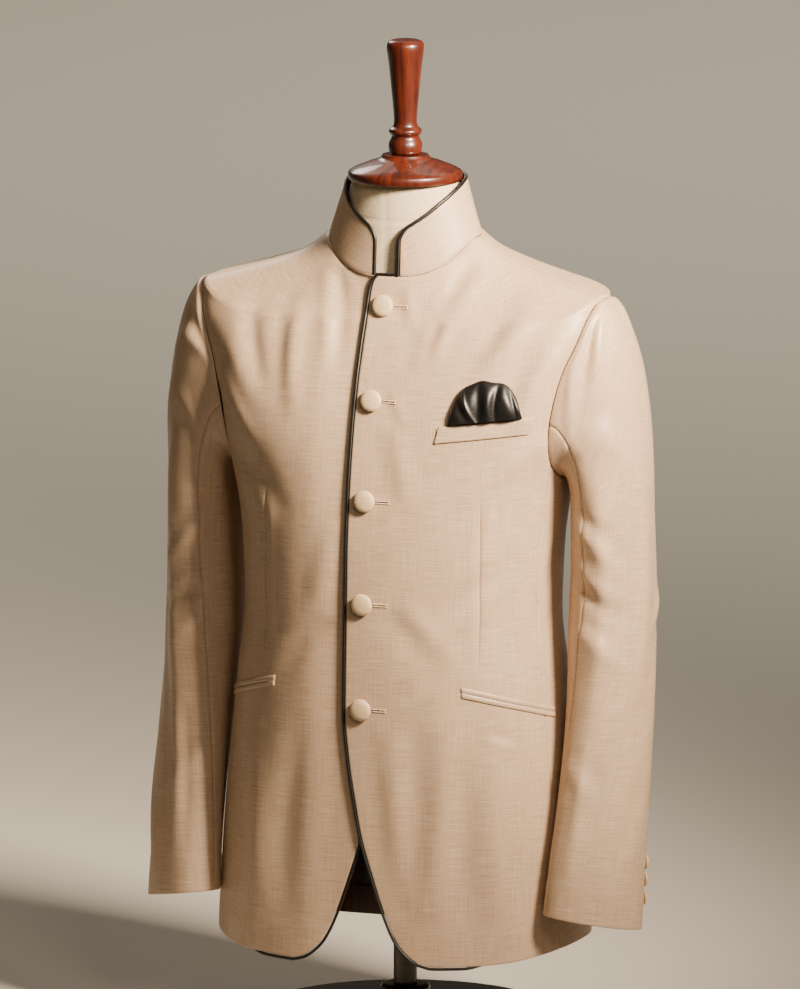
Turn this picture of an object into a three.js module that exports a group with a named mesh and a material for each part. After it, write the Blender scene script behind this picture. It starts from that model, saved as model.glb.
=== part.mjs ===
// A jodhpuri coat, buttoned, on a limbless dress form with a turned wood neck cap.
// Millimetres, +Z up. The coat's front faces -Y and the wearer's left is +X.
// The origin is the centre of the stand's foot, on the floor.
import * as THREE from "three";

// Driving sizes of the cloth and its seams
const wall = 2;
const seamGap = 0.3;
const sleeveSeamGap = 1.2;
const overlapDrop = 3.3;
const overlapFullX = 26;
const overlapEndX = 66;

// Seams of the body, as angles round it from the centre front, in degrees
const sideSeamFront = 72;
const sideSeamBack = 112;
const shoulderSeam = 90;

// The armhole, an oval in angle and level on the body
const armhole = { angle: 90, level: 687, halfAngle: 29, halfLevel: 94, square: 2.3 };

// Levels that the body's rows of points stand on
const hemLevel = 90;
const neckLevel = 838;
const tipLevel = armhole.level + armhole.halfLevel;

// Rings of the body from the hem to the neck seam. z is the height at the centre front, the side and the
// centre back. square is 2 for an ellipse and more for a boxier ring. rise is how late the side climbs.
const bodyRings = [
  { at: 90, zFront: 90, zSide: 104, zBack: 96, half: 198, fore: 142, aft: 122, square: 2.3, rise: 4 },
  { at: 200, zFront: 200, zSide: 202, zBack: 200, half: 193, fore: 138, aft: 122, square: 2.3, rise: 4 },
  { at: 300, zFront: 300, zSide: 300, zBack: 300, half: 184, fore: 135.5, aft: 117, square: 2.3, rise: 4 },
  { at: 380, zFront: 380, zSide: 380, zBack: 380, half: 176, fore: 133.5, aft: 107, square: 2.25, rise: 4 },
  { at: 450, zFront: 450, zSide: 450, zBack: 450, half: 169, fore: 131, aft: 98, square: 2.2, rise: 4 },
  { at: 520, zFront: 520, zSide: 520, zBack: 520, half: 171.5, fore: 128.5, aft: 100, square: 2.25, rise: 4 },
  { at: 590, zFront: 588, zSide: 590, zBack: 590, half: 181, fore: 121, aft: 108, square: 2.4, rise: 4 },
  { at: 650, zFront: 645, zSide: 652, zBack: 655, half: 196, fore: 110, aft: 113, square: 2.8, rise: 4 },
  { at: 710, zFront: 694, zSide: 712, zBack: 712, half: 209, fore: 97, aft: 110, square: 3, rise: 4 },
  { at: 755, zFront: 730, zSide: 756, zBack: 762, half: 219, fore: 84, aft: 100, square: 3, rise: 4 },
  { at: 781, zFront: 752, zSide: 781, zBack: 793, half: 219, fore: 75, aft: 88, square: 2.7, rise: 4 },
  { at: 785, zFront: 755.5, zSide: 785, zBack: 797, half: 206, fore: 73.5, aft: 86, square: 2.6, rise: 4 },
  { at: 800, zFront: 768, zSide: 801.5, zBack: 814, half: 150, fore: 68, aft: 76, square: 2.4, rise: 3.6 },
  { at: 817, zFront: 783, zSide: 817, zBack: 831, half: 110, fore: 64, aft: 68, square: 2.2, rise: 3.2 },
  { at: 838, zFront: 800, zSide: 838, zBack: 850, half: 81, fore: 60, aft: 62, square: 2.1, rise: 3 },
];

// Soft folds of the body: where they lie, how far they spread and how far the cloth stands out
const bodyFolds = [
  { angle: 118, level: 130, wide: 11, tall: 170, lean: 0.01, out: 4 },
  { angle: -120, level: 120, wide: 10, tall: 150, lean: -0.01, out: 3.6 },
  { angle: 152, level: 110, wide: 12, tall: 180, lean: 0, out: 4.2 },
  { angle: -155, level: 125, wide: 11, tall: 150, lean: 0, out: 3.4 },
  { angle: 48, level: 170, wide: 10, tall: 150, lean: 0.015, out: 2.6 },
  { angle: -46, level: 150, wide: 10, tall: 140, lean: -0.015, out: 2.2 },
  { angle: 46, level: 700, wide: 7, tall: 55, lean: 0.12, out: 1.6 },
  { angle: -42, level: 720, wide: 7, tall: 50, lean: -0.1, out: 1.5 },
];

// Each front's free edge: how far it lies from the centre line, towards its own side
const frontEdge = [
  { at: 90, x: 76 },
  { at: 94, x: 63 },
  { at: 100, x: 54 },
  { at: 113, x: 42 },
  { at: 142, x: 28 },
  { at: 180, x: 14.5 },
  { at: 224, x: 1 },
  { at: 260, x: -6 },
  { at: 302, x: -13 },
  { at: 355, x: -18 },
  { at: 700, x: -17 },
  { at: 800, x: -16 },
  { at: 820, x: -15 },
  { at: 831, x: -13 },
  { at: 838, x: -9 },
];

// Rows of points up each panel
const frontLevels = [
  90, 92, 95, 100, 108, 119, 133, 152, 178, 210, 250, 300, 350, 400, 450, 500, 545, 580, 600, 617, 638,
  665, 695, 722, 745, 762, 774, 781, 785, 793, 805, 820, 831, 838,
];
const backLevels = [
  90, 115, 150, 195, 245, 300, 350, 400, 450, 500, 545, 580, 600, 617, 640, 665, 690, 714, 736, 756, 772, 781,
  785, 792, 800, 810, 822, 838,
];
const sideLevels = [90, 115, 150, 195, 245, 300, 350, 400, 450, 500, 545, 580];
// Columns of a front: near its free edge they are set by x, and at the neck they spread evenly
const frontNearX = [26, 46, 66];
const frontNearSteps = [12, 26, 42];
const frontFarColumns = 7;
const frontEvenFrom = 720;
const frontEvenTo = 785;
const sideColumns = 6;
const backColumns = 9;

// Rings of the left sleeve below the armpit. turn is the direction of the long axis, from +X, in degrees.
// tilt lowers the cuff's outer back edge and lifts its inner front edge.
const sleeveRings = [
  { at: 134, x: 226.5, y: -56, long: 53, short: 31.5, turn: 40, tilt: 10 },
  { at: 190, x: 227.5, y: -45, long: 52.5, short: 33.5, turn: 45, tilt: 6 },
  { at: 245, x: 228.5, y: -30, long: 52.5, short: 36, turn: 53, tilt: 3 },
  { at: 350, x: 227.5, y: -3, long: 54, short: 40.5, turn: 72, tilt: 0 },
  { at: 440, x: 225, y: 10, long: 58, short: 43, turn: 86, tilt: 0 },
  { at: 500, x: 224.5, y: 14, long: 62, short: 41.5, turn: 90, tilt: 0 },
  { at: 560, x: 224, y: 13, long: 66, short: 40, turn: 90, tilt: 0 },
];
const capBase = 560;
const cuffLevel = 134;

// The sleeve head leaves the armhole outwards and comes down upright on the ring at capBase
const capLeave = { under: 7, top: 17, sides: 6, drop: 0.27, lift: 0.25, spread: 0.25 };
const capArrive = { under: 14, top: 116, sides: 46 };

// Soft folds of the sleeves, at the bend of the elbow and at the head
const sleeveFolds = [
  { angle: 150, level: 455, wide: 34, tall: 22, lean: 0.5, out: -2.6 },
  { angle: 165, level: 410, wide: 30, tall: 18, lean: 0.6, out: 2 },
  { angle: 40, level: 470, wide: 30, tall: 60, lean: 0, out: 1.8 },
  { angle: 120, level: 300, wide: 22, tall: 120, lean: 0.05, out: -2 },
  { angle: 75, level: 250, wide: 20, tall: 110, lean: -0.04, out: 1.8 },
];

// The two pieces of a sleeve meet at the hind arm seam and at the forearm seam
const hindSeam = -6;
const foreSeam = 197;
const capRows = [0, 0.05, 0.13, 0.25, 0.4, 0.56, 0.72, 0.87];
const tubeLevels = [560, 525, 490, 460, 435, 405, 370, 330, 290, 250, 210, 170, 134];
const topSleeveColumns = 11;
const underSleeveColumns = 8;

// The stand collar
const collarTop = { half: 64.5, fore: 57.5, aft: 64.5 };
const collarTopEdge = [
  { at: 0, z: 847 },
  { at: 22, z: 850 },
  { at: 38, z: 863 },
  { at: 56, z: 876 },
  { at: 80, z: 888 },
  { at: 100, z: 893 },
  { at: 125, z: 895 },
  { at: 180, z: 894 },
];
const collarEndX = 15;
const collarCorner = 9;
const collarEndSteps = [0, 0.9, 2.6, 5.2, 9];
const collarColumns = 27;
const collarRows = [0, 0.12, 0.35, 0.6, 0.82, 1];

// Satin piping round the collar and down the fronts
const piping = { radius: 1.5, sides: 5, step: 11, collarStep: 7, sink: 0.8, clear: 0.55, hemEndX: 128, neckStartX: 13.4 };

// Covered buttons, at heights on the centre line
const button = { radius: 11.5, thick: 6, shank: 3.2, lift: 0.5, seat: 0.3, sides: 14 };
const buttonHeights = [770, 676, 574, 467, 357];
const cuffButton = { radius: 7.6, thick: 4.6, shank: 2.2, lift: 0.9, seat: -0.4, sides: 9 };
const cuffButtonHeights = [196, 179.5, 163];
const cuffButtonAngle = 2;

// Pockets: welts lie on the panels. x and z are the centre of each end of the welt's middle line.
const breastWelt = { inner: { x: 73, z: 645 }, outer: { x: 166, z: 656 }, tall: 20, thick: 1.7, columns: 10 };
const hipWelt = { innerAngle: 33, innerZ: 378, outerAngle: 79, outerZ: 348, tall: 11.5, thick: 1.5, columns: 12 };
const square = { innerX: 84, outerX: 158, tall: 43, puff: 9, edge: 1.6, columns: 15, rows: 8, lobes: 4.5 };

// The dress form under the coat, its stand and its wood
const form = { inset: 8, shoulderInset: 2.6, sides: 36, bottomLevel: 236, neckHalf: 56, neckFore: 49, neckAft: 51 };
const formLevels = [form.bottomLevel, 290, 345, 400, 450, 500, 550, 600, 650, 700, 740, 762, 786, 800, 817, 838];
const neckTop = 892.7;
const neckRows = [0.3, 0.65, 1];
const block = { top: 235.7, step: 168, bottom: 137, inset: 26, sides: 36, lip: 4 };
const cap = { radius: 59.5, z: 893, rim: 8, sides: 28 };
const finial = { z: 920.3, sides: 18 };
const pole = { radius: 12.4, bottom: 12.3, sides: 20 };
const socket = { radius: 26, bottom: 12.3, top: 42, sides: 20 };
const foot = { radius: 160, thick: 12, sides: 40 };

const radians = THREE.MathUtils.degToRad;
const clamp = THREE.MathUtils.clamp;
const smoothstep = THREE.MathUtils.smoothstep;

// Slope of a table's column at one row, kept from overshooting
function slopeAt(rows, column, i) {
  const before = i > 0 ? (rows[i][column] - rows[i - 1][column]) / (rows[i].at - rows[i - 1].at) : null;
  const after =
    i < rows.length - 1 ? (rows[i + 1][column] - rows[i][column]) / (rows[i + 1].at - rows[i].at) : null;
  if (before === null) return after;
  if (after === null) return before;
  if (before * after <= 0) return 0;
  return (2 * before * after) / (before + after);
}

// A smooth reading of a table's column between its rows
function read(rows, column, at) {
  let i = 0;
  while (i < rows.length - 2 && at > rows[i + 1].at) i += 1;
  const span = rows[i + 1].at - rows[i].at;
  const t = clamp((at - rows[i].at) / span, 0, 1);
  const a = rows[i][column];
  const b = rows[i + 1][column];
  const slopeA = slopeAt(rows, column, i) * span;
  const slopeB = slopeAt(rows, column, i + 1) * span;
  const t2 = t * t;
  const t3 = t2 * t;
  return (2 * t3 - 3 * t2 + 1) * a + (t3 - 2 * t2 + t) * slopeA + (3 * t2 - 2 * t3) * b + (t3 - t2) * slopeB;
}

function signedPower(value, power) {
  return Math.sign(value) * Math.abs(value) ** power;
}

// How far soft folds push the cloth out at an angle and a level
function foldOut(folds, angle, level) {
  let out = 0;
  for (const fold of folds) {
    const up = level - fold.level;
    const round = THREE.MathUtils.euclideanModulo(angle - fold.angle - fold.lean * up + 180, 360) - 180;
    out += fold.out * Math.exp(-((round / fold.wide) ** 2) - (up / fold.tall) ** 2);
  }
  return out;
}

// A point of the body's outer surface, before folds
function bodyPoint(angle, level) {
  const s = Math.sin(radians(angle));
  const c = Math.cos(radians(angle));
  const power = 2 / read(bodyRings, "square", level);
  const depth = read(bodyRings, c > 0 ? "fore" : "aft", level);
  const zMiddle = read(bodyRings, c > 0 ? "zFront" : "zBack", level);
  const zSide = read(bodyRings, "zSide", level);
  const climb = Math.abs(s) ** read(bodyRings, "rise", level);
  return new THREE.Vector3(
    read(bodyRings, "half", level) * signedPower(s, power),
    -depth * signedPower(c, power),
    zMiddle + (zSide - zMiddle) * climb,
  );
}

// The outward direction of a surface given as a function of an angle and a second value
function outward(surface, angle, value, stepAngle, stepValue, low, high) {
  const above = Math.min(value + stepValue, high);
  const below = Math.max(value - stepValue, low);
  const along = surface(angle + stepAngle, value).sub(surface(angle - stepAngle, value));
  const up = surface(angle, above).sub(surface(angle, below));
  return along.cross(up).normalize();
}

// A point on the body, moved out along the surface's outward direction
function onBody(angle, level, out) {
  const direction = outward(bodyPoint, angle, level, 0.6, 1.2, hemLevel, neckLevel);
  const away = out + foldOut(bodyFolds, angle, level);
  return bodyPoint(angle, level).addScaledVector(direction, away);
}

// The angle at which a ring lies a given way from the centre line
function angleOfX(x, level) {
  const share = Math.min(Math.abs(x) / read(bodyRings, "half", level), 1);
  const angle = Math.asin(share ** (read(bodyRings, "square", level) / 2));
  return Math.sign(x) * THREE.MathUtils.radToDeg(angle);
}

// The angle and level of the front's point at a given x and z
function findOnFront(x, z) {
  let level = z;
  for (let i = 0; i < 30; i += 1) {
    level += z - bodyPoint(angleOfX(x, level), level).z;
  }
  return { angle: angleOfX(x, level), level };
}

// Front or back angle of the armhole at a level, and its lowest level at an angle
function armholeAngle(level, towards) {
  const share = clamp(Math.abs((level - armhole.level) / armhole.halfLevel), 0, 1);
  return armhole.angle + towards * armhole.halfAngle * (1 - share ** armhole.square) ** (1 / armhole.square);
}

function armholeBottom(angle) {
  const share = clamp(Math.abs((angle - armhole.angle) / armhole.halfAngle), 0, 1);
  return armhole.level - armhole.halfLevel * (1 - share ** armhole.square) ** (1 / armhole.square);
}

// Half a seam's gap as an angle, on the side and at the ridge of the shoulder
function gapAngle(level) {
  return THREE.MathUtils.radToDeg(seamGap / 2 / read(bodyRings, "half", level));
}

function ridgeAngle(level, column) {
  const share = seamGap / 2 / read(bodyRings, column, level);
  return THREE.MathUtils.radToDeg(Math.asin(share ** (read(bodyRings, "square", level) / 2)));
}

function geometryFrom(points, faces, flip) {
  const geometry = new THREE.BufferGeometry();
  const positions = [];
  for (const p of points) positions.push(p.x, p.y, p.z);
  const index = [];
  for (const [a, b, c] of faces) index.push(a, flip ? c : b, flip ? b : c);
  geometry.setAttribute("position", new THREE.Float32BufferAttribute(positions, 3));
  geometry.setIndex(index);
  geometry.computeVertexNormals();
  return geometry;
}

// A closed wall between two grids of points. Rows run up and columns run anticlockwise seen from above.
function wallBetween(outer, inner, flip) {
  const rows = outer.length;
  const columns = outer[0].length;
  const points = [...outer.flat(), ...inner.flat()];
  const offset = rows * columns;
  const faces = [];
  for (let i = 0; i < rows - 1; i += 1) {
    for (let j = 0; j < columns - 1; j += 1) {
      const a = i * columns + j;
      const b = a + 1;
      const c = a + columns + 1;
      const d = a + columns;
      faces.push([a, b, c], [a, c, d]);
      faces.push([offset + a, offset + c, offset + b], [offset + a, offset + d, offset + c]);
    }
  }
  const rim = [];
  for (let j = 0; j < columns - 1; j += 1) rim.push(j);
  for (let i = 0; i < rows - 1; i += 1) rim.push(i * columns + columns - 1);
  for (let j = columns - 1; j > 0; j -= 1) rim.push((rows - 1) * columns + j);
  for (let i = rows - 1; i > 0; i -= 1) rim.push(i * columns);
  for (let k = 0; k < rim.length; k += 1) {
    const a = rim[k];
    const b = rim[(k + 1) % rim.length];
    faces.push([a, offset + a, offset + b], [a, offset + b, b]);
  }
  return geometryFrom(points, faces, flip);
}

// A closed solid through rings of points, from the lowest up, with flat ends
function solidThrough(rings) {
  const sides = rings[0].length;
  const points = rings.flat();
  const faces = [];
  for (let i = 0; i < rings.length - 1; i += 1) {
    for (let j = 0; j < sides; j += 1) {
      const a = i * sides + j;
      const b = i * sides + ((j + 1) % sides);
      faces.push([a, b, b + sides], [a, b + sides, a + sides]);
    }
  }
  const middle = (ring) => ring.reduce((sum, p) => sum.add(p), new THREE.Vector3()).divideScalar(sides);
  const low = points.length;
  const high = low + 1;
  points.push(middle(rings[0]), middle(rings[rings.length - 1]));
  const lastRing = (rings.length - 1) * sides;
  for (let j = 0; j < sides; j += 1) {
    const next = (j + 1) % sides;
    faces.push([low, next, j], [high, lastRing + j, lastRing + next]);
  }
  return geometryFrom(points, faces, false);
}

function spread(from, to, count) {
  return Array.from({ length: count }, (_, i) => from + ((to - from) * i) / (count - 1));
}

const materials = {
  cloth: new THREE.MeshStandardMaterial({ color: 0xc3a78c, roughness: 0.62, metalness: 0 }),
  satin: new THREE.MeshStandardMaterial({ color: 0x15130f, roughness: 0.35, metalness: 0 }),
  linen: new THREE.MeshStandardMaterial({ color: 0xd8cbb4, roughness: 0.85, metalness: 0 }),
  wood: new THREE.MeshStandardMaterial({ color: 0x6b2c1a, roughness: 0.3, metalness: 0 }),
  darkWood: new THREE.MeshStandardMaterial({ color: 0x3a2012, roughness: 0.5, metalness: 0 }),
  steel: new THREE.MeshStandardMaterial({ color: 0x2b2a27, roughness: 0.35, metalness: 0.9 }),
};

const coat = new THREE.Group();

function add(name, geometry, material) {
  const mesh = new THREE.Mesh(geometry, materials[material]);
  mesh.name = name;
  coat.add(mesh);
  return mesh;
}

// How far a front lies under the other one, near its free edge. Only the wearer's right front goes under.
function frontSink(side, x) {
  return side > 0 ? 0 : overlapDrop * (1 - smoothstep(x, overlapFullX, overlapEndX));
}

function onFront(side, angle, level, out) {
  const x = bodyPoint(angle, level).x;
  return onBody(side * angle, level, out - frontSink(side, x));
}

function frontOuterAngle(level) {
  if (level >= tipLevel) return shoulderSeam - ridgeAngle(level, "fore");
  const hole = armholeAngle(level, -1);
  return level > armhole.level ? hole : Math.min(hole, sideSeamFront - gapAngle(level));
}

function backOuterAngle(level) {
  if (level >= tipLevel) return shoulderSeam + ridgeAngle(level, "aft");
  const hole = armholeAngle(level, 1);
  return level > armhole.level ? hole : Math.max(hole, sideSeamBack + gapAngle(level));
}

function buildFront(side) {
  const outer = [];
  const inner = [];
  for (const level of frontLevels) {
    const edgeX = read(frontEdge, "x", level);
    const xs = frontNearX.map((x, i) => Math.max(x, edgeX + frontNearSteps[i]));
    const near = xs.map((x) => angleOfX(x, level));
    const far = spread(near[near.length - 1], frontOuterAngle(level), frontFarColumns).slice(1);
    const stepped = [angleOfX(edgeX, level), ...near, ...far];
    const even = spread(stepped[0], frontOuterAngle(level), stepped.length);
    const share = THREE.MathUtils.smoothstep(level, frontEvenFrom, frontEvenTo);
    const angles = stepped.map((angle, i) => THREE.MathUtils.lerp(angle, even[i], share));
    outer.push(angles.map((angle) => onFront(side, angle, level, 0)));
    inner.push(angles.map((angle) => onFront(side, angle, level, -wall)));
  }
  return wallBetween(outer, inner, side < 0);
}

function buildSide(side) {
  const outer = [];
  const inner = [];
  const edge = gapAngle(hemLevel);
  const angles = spread(sideSeamFront + edge, sideSeamBack - edge, sideColumns);
  const rows = [...sideLevels.map((level) => () => level), armholeBottom];
  for (const levelAt of rows) {
    outer.push(angles.map((angle) => onBody(side * angle, levelAt(angle), 0)));
    inner.push(angles.map((angle) => onBody(side * angle, levelAt(angle), -wall)));
  }
  return wallBetween(outer, inner, side < 0);
}

function buildBack(side) {
  const outer = [];
  const inner = [];
  for (const level of backLevels) {
    const centre = 180 - THREE.MathUtils.radToDeg(Math.asin((seamGap / 2 / read(bodyRings, "half", level)) **
      (read(bodyRings, "square", level) / 2)));
    const angles = spread(backOuterAngle(level), centre, backColumns);
    outer.push(angles.map((angle) => onBody(side * angle, level, 0)));
    inner.push(angles.map((angle) => onBody(side * angle, level, -wall)));
  }
  return wallBetween(outer, inner, side < 0);
}

// A point on the armhole's edge. angle runs from the back (0) over the shoulder (90) to the front (180).
function armholePoint(angle, inside) {
  const power = 2 / armhole.square;
  const halfAngle = armhole.halfAngle - THREE.MathUtils.radToDeg(inside / 200);
  const halfLevel = armhole.halfLevel - inside;
  const round = armhole.angle + halfAngle * signedPower(Math.cos(radians(angle)), power);
  const level = armhole.level + halfLevel * signedPower(Math.sin(radians(angle)), power);
  return bodyPoint(round, level);
}

// A point on a sleeve's ring at a height
function ringPoint(angle, level) {
  const turn = radians(read(sleeveRings, "turn", level));
  const along = read(sleeveRings, "long", level) * Math.cos(radians(angle));
  const across = read(sleeveRings, "short", level) * Math.sin(radians(angle));
  return new THREE.Vector3(
    read(sleeveRings, "x", level) + along * Math.cos(turn) + across * Math.sin(turn),
    read(sleeveRings, "y", level) + along * Math.sin(turn) - across * Math.cos(turn),
    level - read(sleeveRings, "tilt", level) * Math.cos(radians(angle)),
  );
}

// A point of the sleeve head, from the armhole (share 0) to the ring at capBase (share 1)
function capPoint(angle, share) {
  const over = Math.max(Math.sin(radians(angle)), 0);
  const under = Math.max(-Math.sin(radians(angle)), 0);
  const aside = Math.abs(Math.cos(radians(angle)));
  const start = armholePoint(angle, sleeveSeamGap);
  const end = ringPoint(angle, capBase);
  const leave = new THREE.Vector3(
    1,
    capLeave.spread * Math.cos(radians(angle)),
    capLeave.lift * under - capLeave.drop * over,
  ).normalize();
  const first = capLeave.under + capLeave.top * over + capLeave.sides * aside;
  const last = capArrive.under + capArrive.top * over + capArrive.sides * aside;
  const curve = new THREE.CubicBezierCurve3(
    start,
    start.clone().addScaledVector(leave, first),
    end.clone().setZ(end.z + last),
    end,
  );
  return curve.getPoint(share);
}

// value runs from -1 at the armhole to 0 at capBase, and then down to 1 at the cuff
function sleevePoint(angle, value) {
  if (value < 0) return capPoint(angle, value + 1);
  return ringPoint(angle, capBase + (cuffLevel - capBase) * value);
}

function onSleeve(angle, value, out) {
  const direction = outward(sleevePoint, angle, value, 0.8, 0.004, -1, 1);
  const level = value < 0 ? capBase - value * 200 : capBase + (cuffLevel - capBase) * value;
  const away = out + foldOut(sleeveFolds, angle, level);
  return sleevePoint(angle, value).addScaledVector(direction, away);
}

function buildSleevePiece(side, fromAngle, toAngle, columns) {
  const values = [
    ...capRows.map((share) => share - 1),
    ...tubeLevels.map((level) => (level - capBase) / (cuffLevel - capBase)),
  ];
  const gap = THREE.MathUtils.radToDeg(seamGap / 2 / 50);
  const angles = spread(fromAngle + gap, toAngle - gap, columns);
  const mirror = (p) => p.setX(side * p.x);
  const outer = values.map((value) => angles.map((angle) => mirror(onSleeve(angle, value, 0))));
  const inner = values.map((value) => angles.map((angle) => mirror(onSleeve(angle, value, -wall))));
  return wallBetween(outer, inner, side < 0);
}

// The collar's bottom edge follows the neck seam, and its top edge leans in
function collarPoint(angle, share) {
  const low = bodyPoint(angle, neckLevel);
  low.z += seamGap;
  const s = Math.sin(radians(angle));
  const c = Math.cos(radians(angle));
  const round = THREE.MathUtils.euclideanModulo(angle, 360);
  const high = new THREE.Vector3(
    collarTop.half * s,
    -(c > 0 ? collarTop.fore : collarTop.aft) * c,
    read(collarTopEdge, "z", round > 180 ? 360 - round : round),
  );
  return low.lerp(high, share);
}

function onCollar(angle, share, out) {
  const direction = outward(collarPoint, angle, share, 0.8, 0.02, 0, 1);
  return collarPoint(angle, share).addScaledVector(direction, out);
}

// Columns of the collar: an angle at the seam, an angle at the top, and how far the corner cuts the height
function collarColumnsOf() {
  const columns = [];
  const height = 42;
  for (const away of collarEndSteps) {
    const low = angleOfX(collarEndX + away, neckLevel);
    const high = THREE.MathUtils.radToDeg(Math.asin((collarEndX + away) / collarTop.half));
    const inside = Math.max(collarCorner - away, 0);
    const cut = collarCorner - Math.sqrt(collarCorner ** 2 - inside ** 2);
    columns.push({ low, high, top: 1 - cut / height });
  }
  const last = columns[columns.length - 1];
  const middle = collarColumns - 2 * collarEndSteps.length + 2;
  const lows = spread(last.low, 360 - last.low, middle);
  const highs = spread(last.high, 360 - last.high, middle);
  const others = lows.slice(1, -1).map((low, i) => ({ low, high: highs[i + 1], top: 1 }));
  const mirrored = [...columns].reverse().map(({ low, high, top }) => ({ low: 360 - low, high: 360 - high, top }));
  return [...columns, ...others, ...mirrored];
}

function buildCollar(columns) {
  const at = (column, share, out) => {
    const reach = share * column.top;
    return onCollar(column.low + (column.high - column.low) * reach, reach, out);
  };
  const outer = collarRows.map((share) => columns.map((column) => at(column, share, 0)));
  const inner = collarRows.map((share) => columns.map((column) => at(column, share, -wall)));
  return wallBetween(outer, inner, false);
}

// A round cord of cloth along an edge. Each stop has a point on the edge and the surface's outward direction.
function buildPiping(stops, away, step) {
  const centres = stops.map((stop, i) => {
    const before = stops[Math.max(i - 1, 0)].point;
    const after = stops[Math.min(i + 1, stops.length - 1)].point;
    const along = after.clone().sub(before).normalize();
    const beside = along.cross(stop.direction).normalize();
    return stop.point.clone().addScaledVector(beside, away * (piping.radius + piping.clear));
  });
  const path = new THREE.CatmullRomCurve3(centres, false, "centripetal");
  const section = new THREE.Shape();
  for (let i = 0; i < piping.sides; i += 1) {
    const turn = (2 * Math.PI * i) / piping.sides;
    const x = piping.radius * Math.cos(turn);
    const y = piping.radius * Math.sin(turn);
    if (i === 0) section.moveTo(x, y);
    else section.lineTo(x, y);
  }
  const steps = Math.round(path.getLength() / step);
  return new THREE.ExtrudeGeometry(section, { steps, extrudePath: path, bevelEnabled: false });
}

function frontStop(side, angle, level) {
  return {
    point: onFront(side, angle, level, -piping.sink),
    direction: outward(bodyPoint, side * angle, level, 0.6, 1.2, hemLevel, neckLevel),
  };
}

function buildFrontPiping(side) {
  const stops = [];
  for (const x of spread(piping.neckStartX, read(frontEdge, "x", neckLevel), 5)) {
    stops.push(frontStop(side, angleOfX(x, neckLevel), neckLevel));
  }
  for (const level of [...frontLevels].reverse().slice(1)) {
    stops.push(frontStop(side, angleOfX(read(frontEdge, "x", level), level), level));
  }
  for (const x of spread(read(frontEdge, "x", hemLevel), piping.hemEndX, 5).slice(1)) {
    stops.push(frontStop(side, angleOfX(x, hemLevel), hemLevel));
  }
  return buildPiping(stops, side, piping.step);
}

function buildCollarPiping(columns) {
  const stop = (column, reach) => {
    const angle = column.low + (column.high - column.low) * reach;
    return {
      point: onCollar(angle, reach, -wall / 2),
      direction: outward(collarPoint, angle, reach, 0.8, 0.02, 0, 1),
    };
  };
  const first = columns[0];
  const last = columns[columns.length - 1];
  const climb = spread(0.12, first.top, 4).slice(0, -1);
  const stops = [
    ...climb.map((reach) => stop(first, reach)),
    ...columns.map((column) => stop(column, column.top)),
    ...climb.reverse().map((reach) => stop(last, reach)),
  ];
  return buildPiping(stops, -1, piping.collarStep);
}

// A covered button: a low dome with a round edge on a short shank
function buttonGeometry(size) {
  const back = size.lift;
  const profile = [
    new THREE.Vector2(0, 0),
    new THREE.Vector2(size.shank, 0),
    new THREE.Vector2(size.shank, back + 0.6),
    new THREE.Vector2(size.radius * 0.9, back + 0.7),
    new THREE.Vector2(size.radius, back + size.thick * 0.36),
    new THREE.Vector2(size.radius * 0.93, back + size.thick * 0.62),
    new THREE.Vector2(size.radius * 0.6, back + size.thick * 0.9),
    new THREE.Vector2(0, back + size.thick),
  ];
  return new THREE.LatheGeometry(profile, size.sides);
}

function addButton(name, size, point, direction) {
  const mesh = add(name, buttonGeometry(size), "cloth");
  mesh.position.copy(point);
  mesh.quaternion.setFromUnitVectors(new THREE.Vector3(0, 1, 0), direction);
}

// A strip of cloth lying on the fronts, between two angles, with its top and bottom levels
function buildWelt(side, stops, tall, thick) {
  const rows = [-0.5, 0, 0.5];
  const at = (stop, share, out) => onBody(side * stop.angle, stop.level + share * tall, out);
  const outer = rows.map((share) => stops.map((stop) => at(stop, share, seamGap + thick)));
  const inner = rows.map((share) => stops.map((stop) => at(stop, share, seamGap)));
  return wallBetween(outer, inner, side < 0);
}

function breastStops() {
  const xs = spread(breastWelt.inner.x, breastWelt.outer.x, breastWelt.columns);
  const zs = spread(breastWelt.inner.z, breastWelt.outer.z, breastWelt.columns);
  return xs.map((x, i) => findOnFront(x, zs[i]));
}

function hipStops() {
  const angles = spread(hipWelt.innerAngle, hipWelt.outerAngle, hipWelt.columns);
  const levels = spread(hipWelt.innerZ, hipWelt.outerZ, hipWelt.columns);
  return angles.map((angle, i) => ({ angle, level: levels[i] }));
}

// The puffed pocket square, standing out of the breast pocket
function buildSquare() {
  const weltTopAt = (x) => {
    const share = (x - breastWelt.inner.x) / (breastWelt.outer.x - breastWelt.inner.x);
    const middle = breastWelt.inner.z + (breastWelt.outer.z - breastWelt.inner.z) * share;
    return middle + breastWelt.tall / 2 + 1.2;
  };
  const xs = spread(square.innerX, square.outerX, square.columns);
  const outer = [];
  const inner = [];
  for (let i = 0; i < square.rows; i += 1) {
    const up = i / (square.rows - 1);
    const outerRow = [];
    const innerRow = [];
    xs.forEach((x, j) => {
      const across = (2 * j) / (square.columns - 1) - 1;
      const arch = 0.12 + 0.88 * (1 - Math.abs(across) ** 2.4) ** 0.6;
      const pull = 1 - 0.22 * up;
      const centre = (square.innerX + square.outerX) / 2;
      const shifted = centre + (x - centre) * pull;
      const { angle, level } = findOnFront(shifted, weltTopAt(shifted) + square.tall * arch * up);
      const swell = (1 - across ** 2) * (1 - up ** 3) * (0.55 + 0.45 * up);
      const lobe = 0.75 + 0.25 * Math.cos(square.lobes * Math.PI * across + 1.1 * up);
      outerRow.push(onBody(angle, level, seamGap + square.edge + square.puff * swell * lobe));
      innerRow.push(onBody(angle, level, seamGap));
    });
    outer.push(outerRow);
    inner.push(innerRow);
  }
  return wallBetween(outer, inner, false);
}

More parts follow.
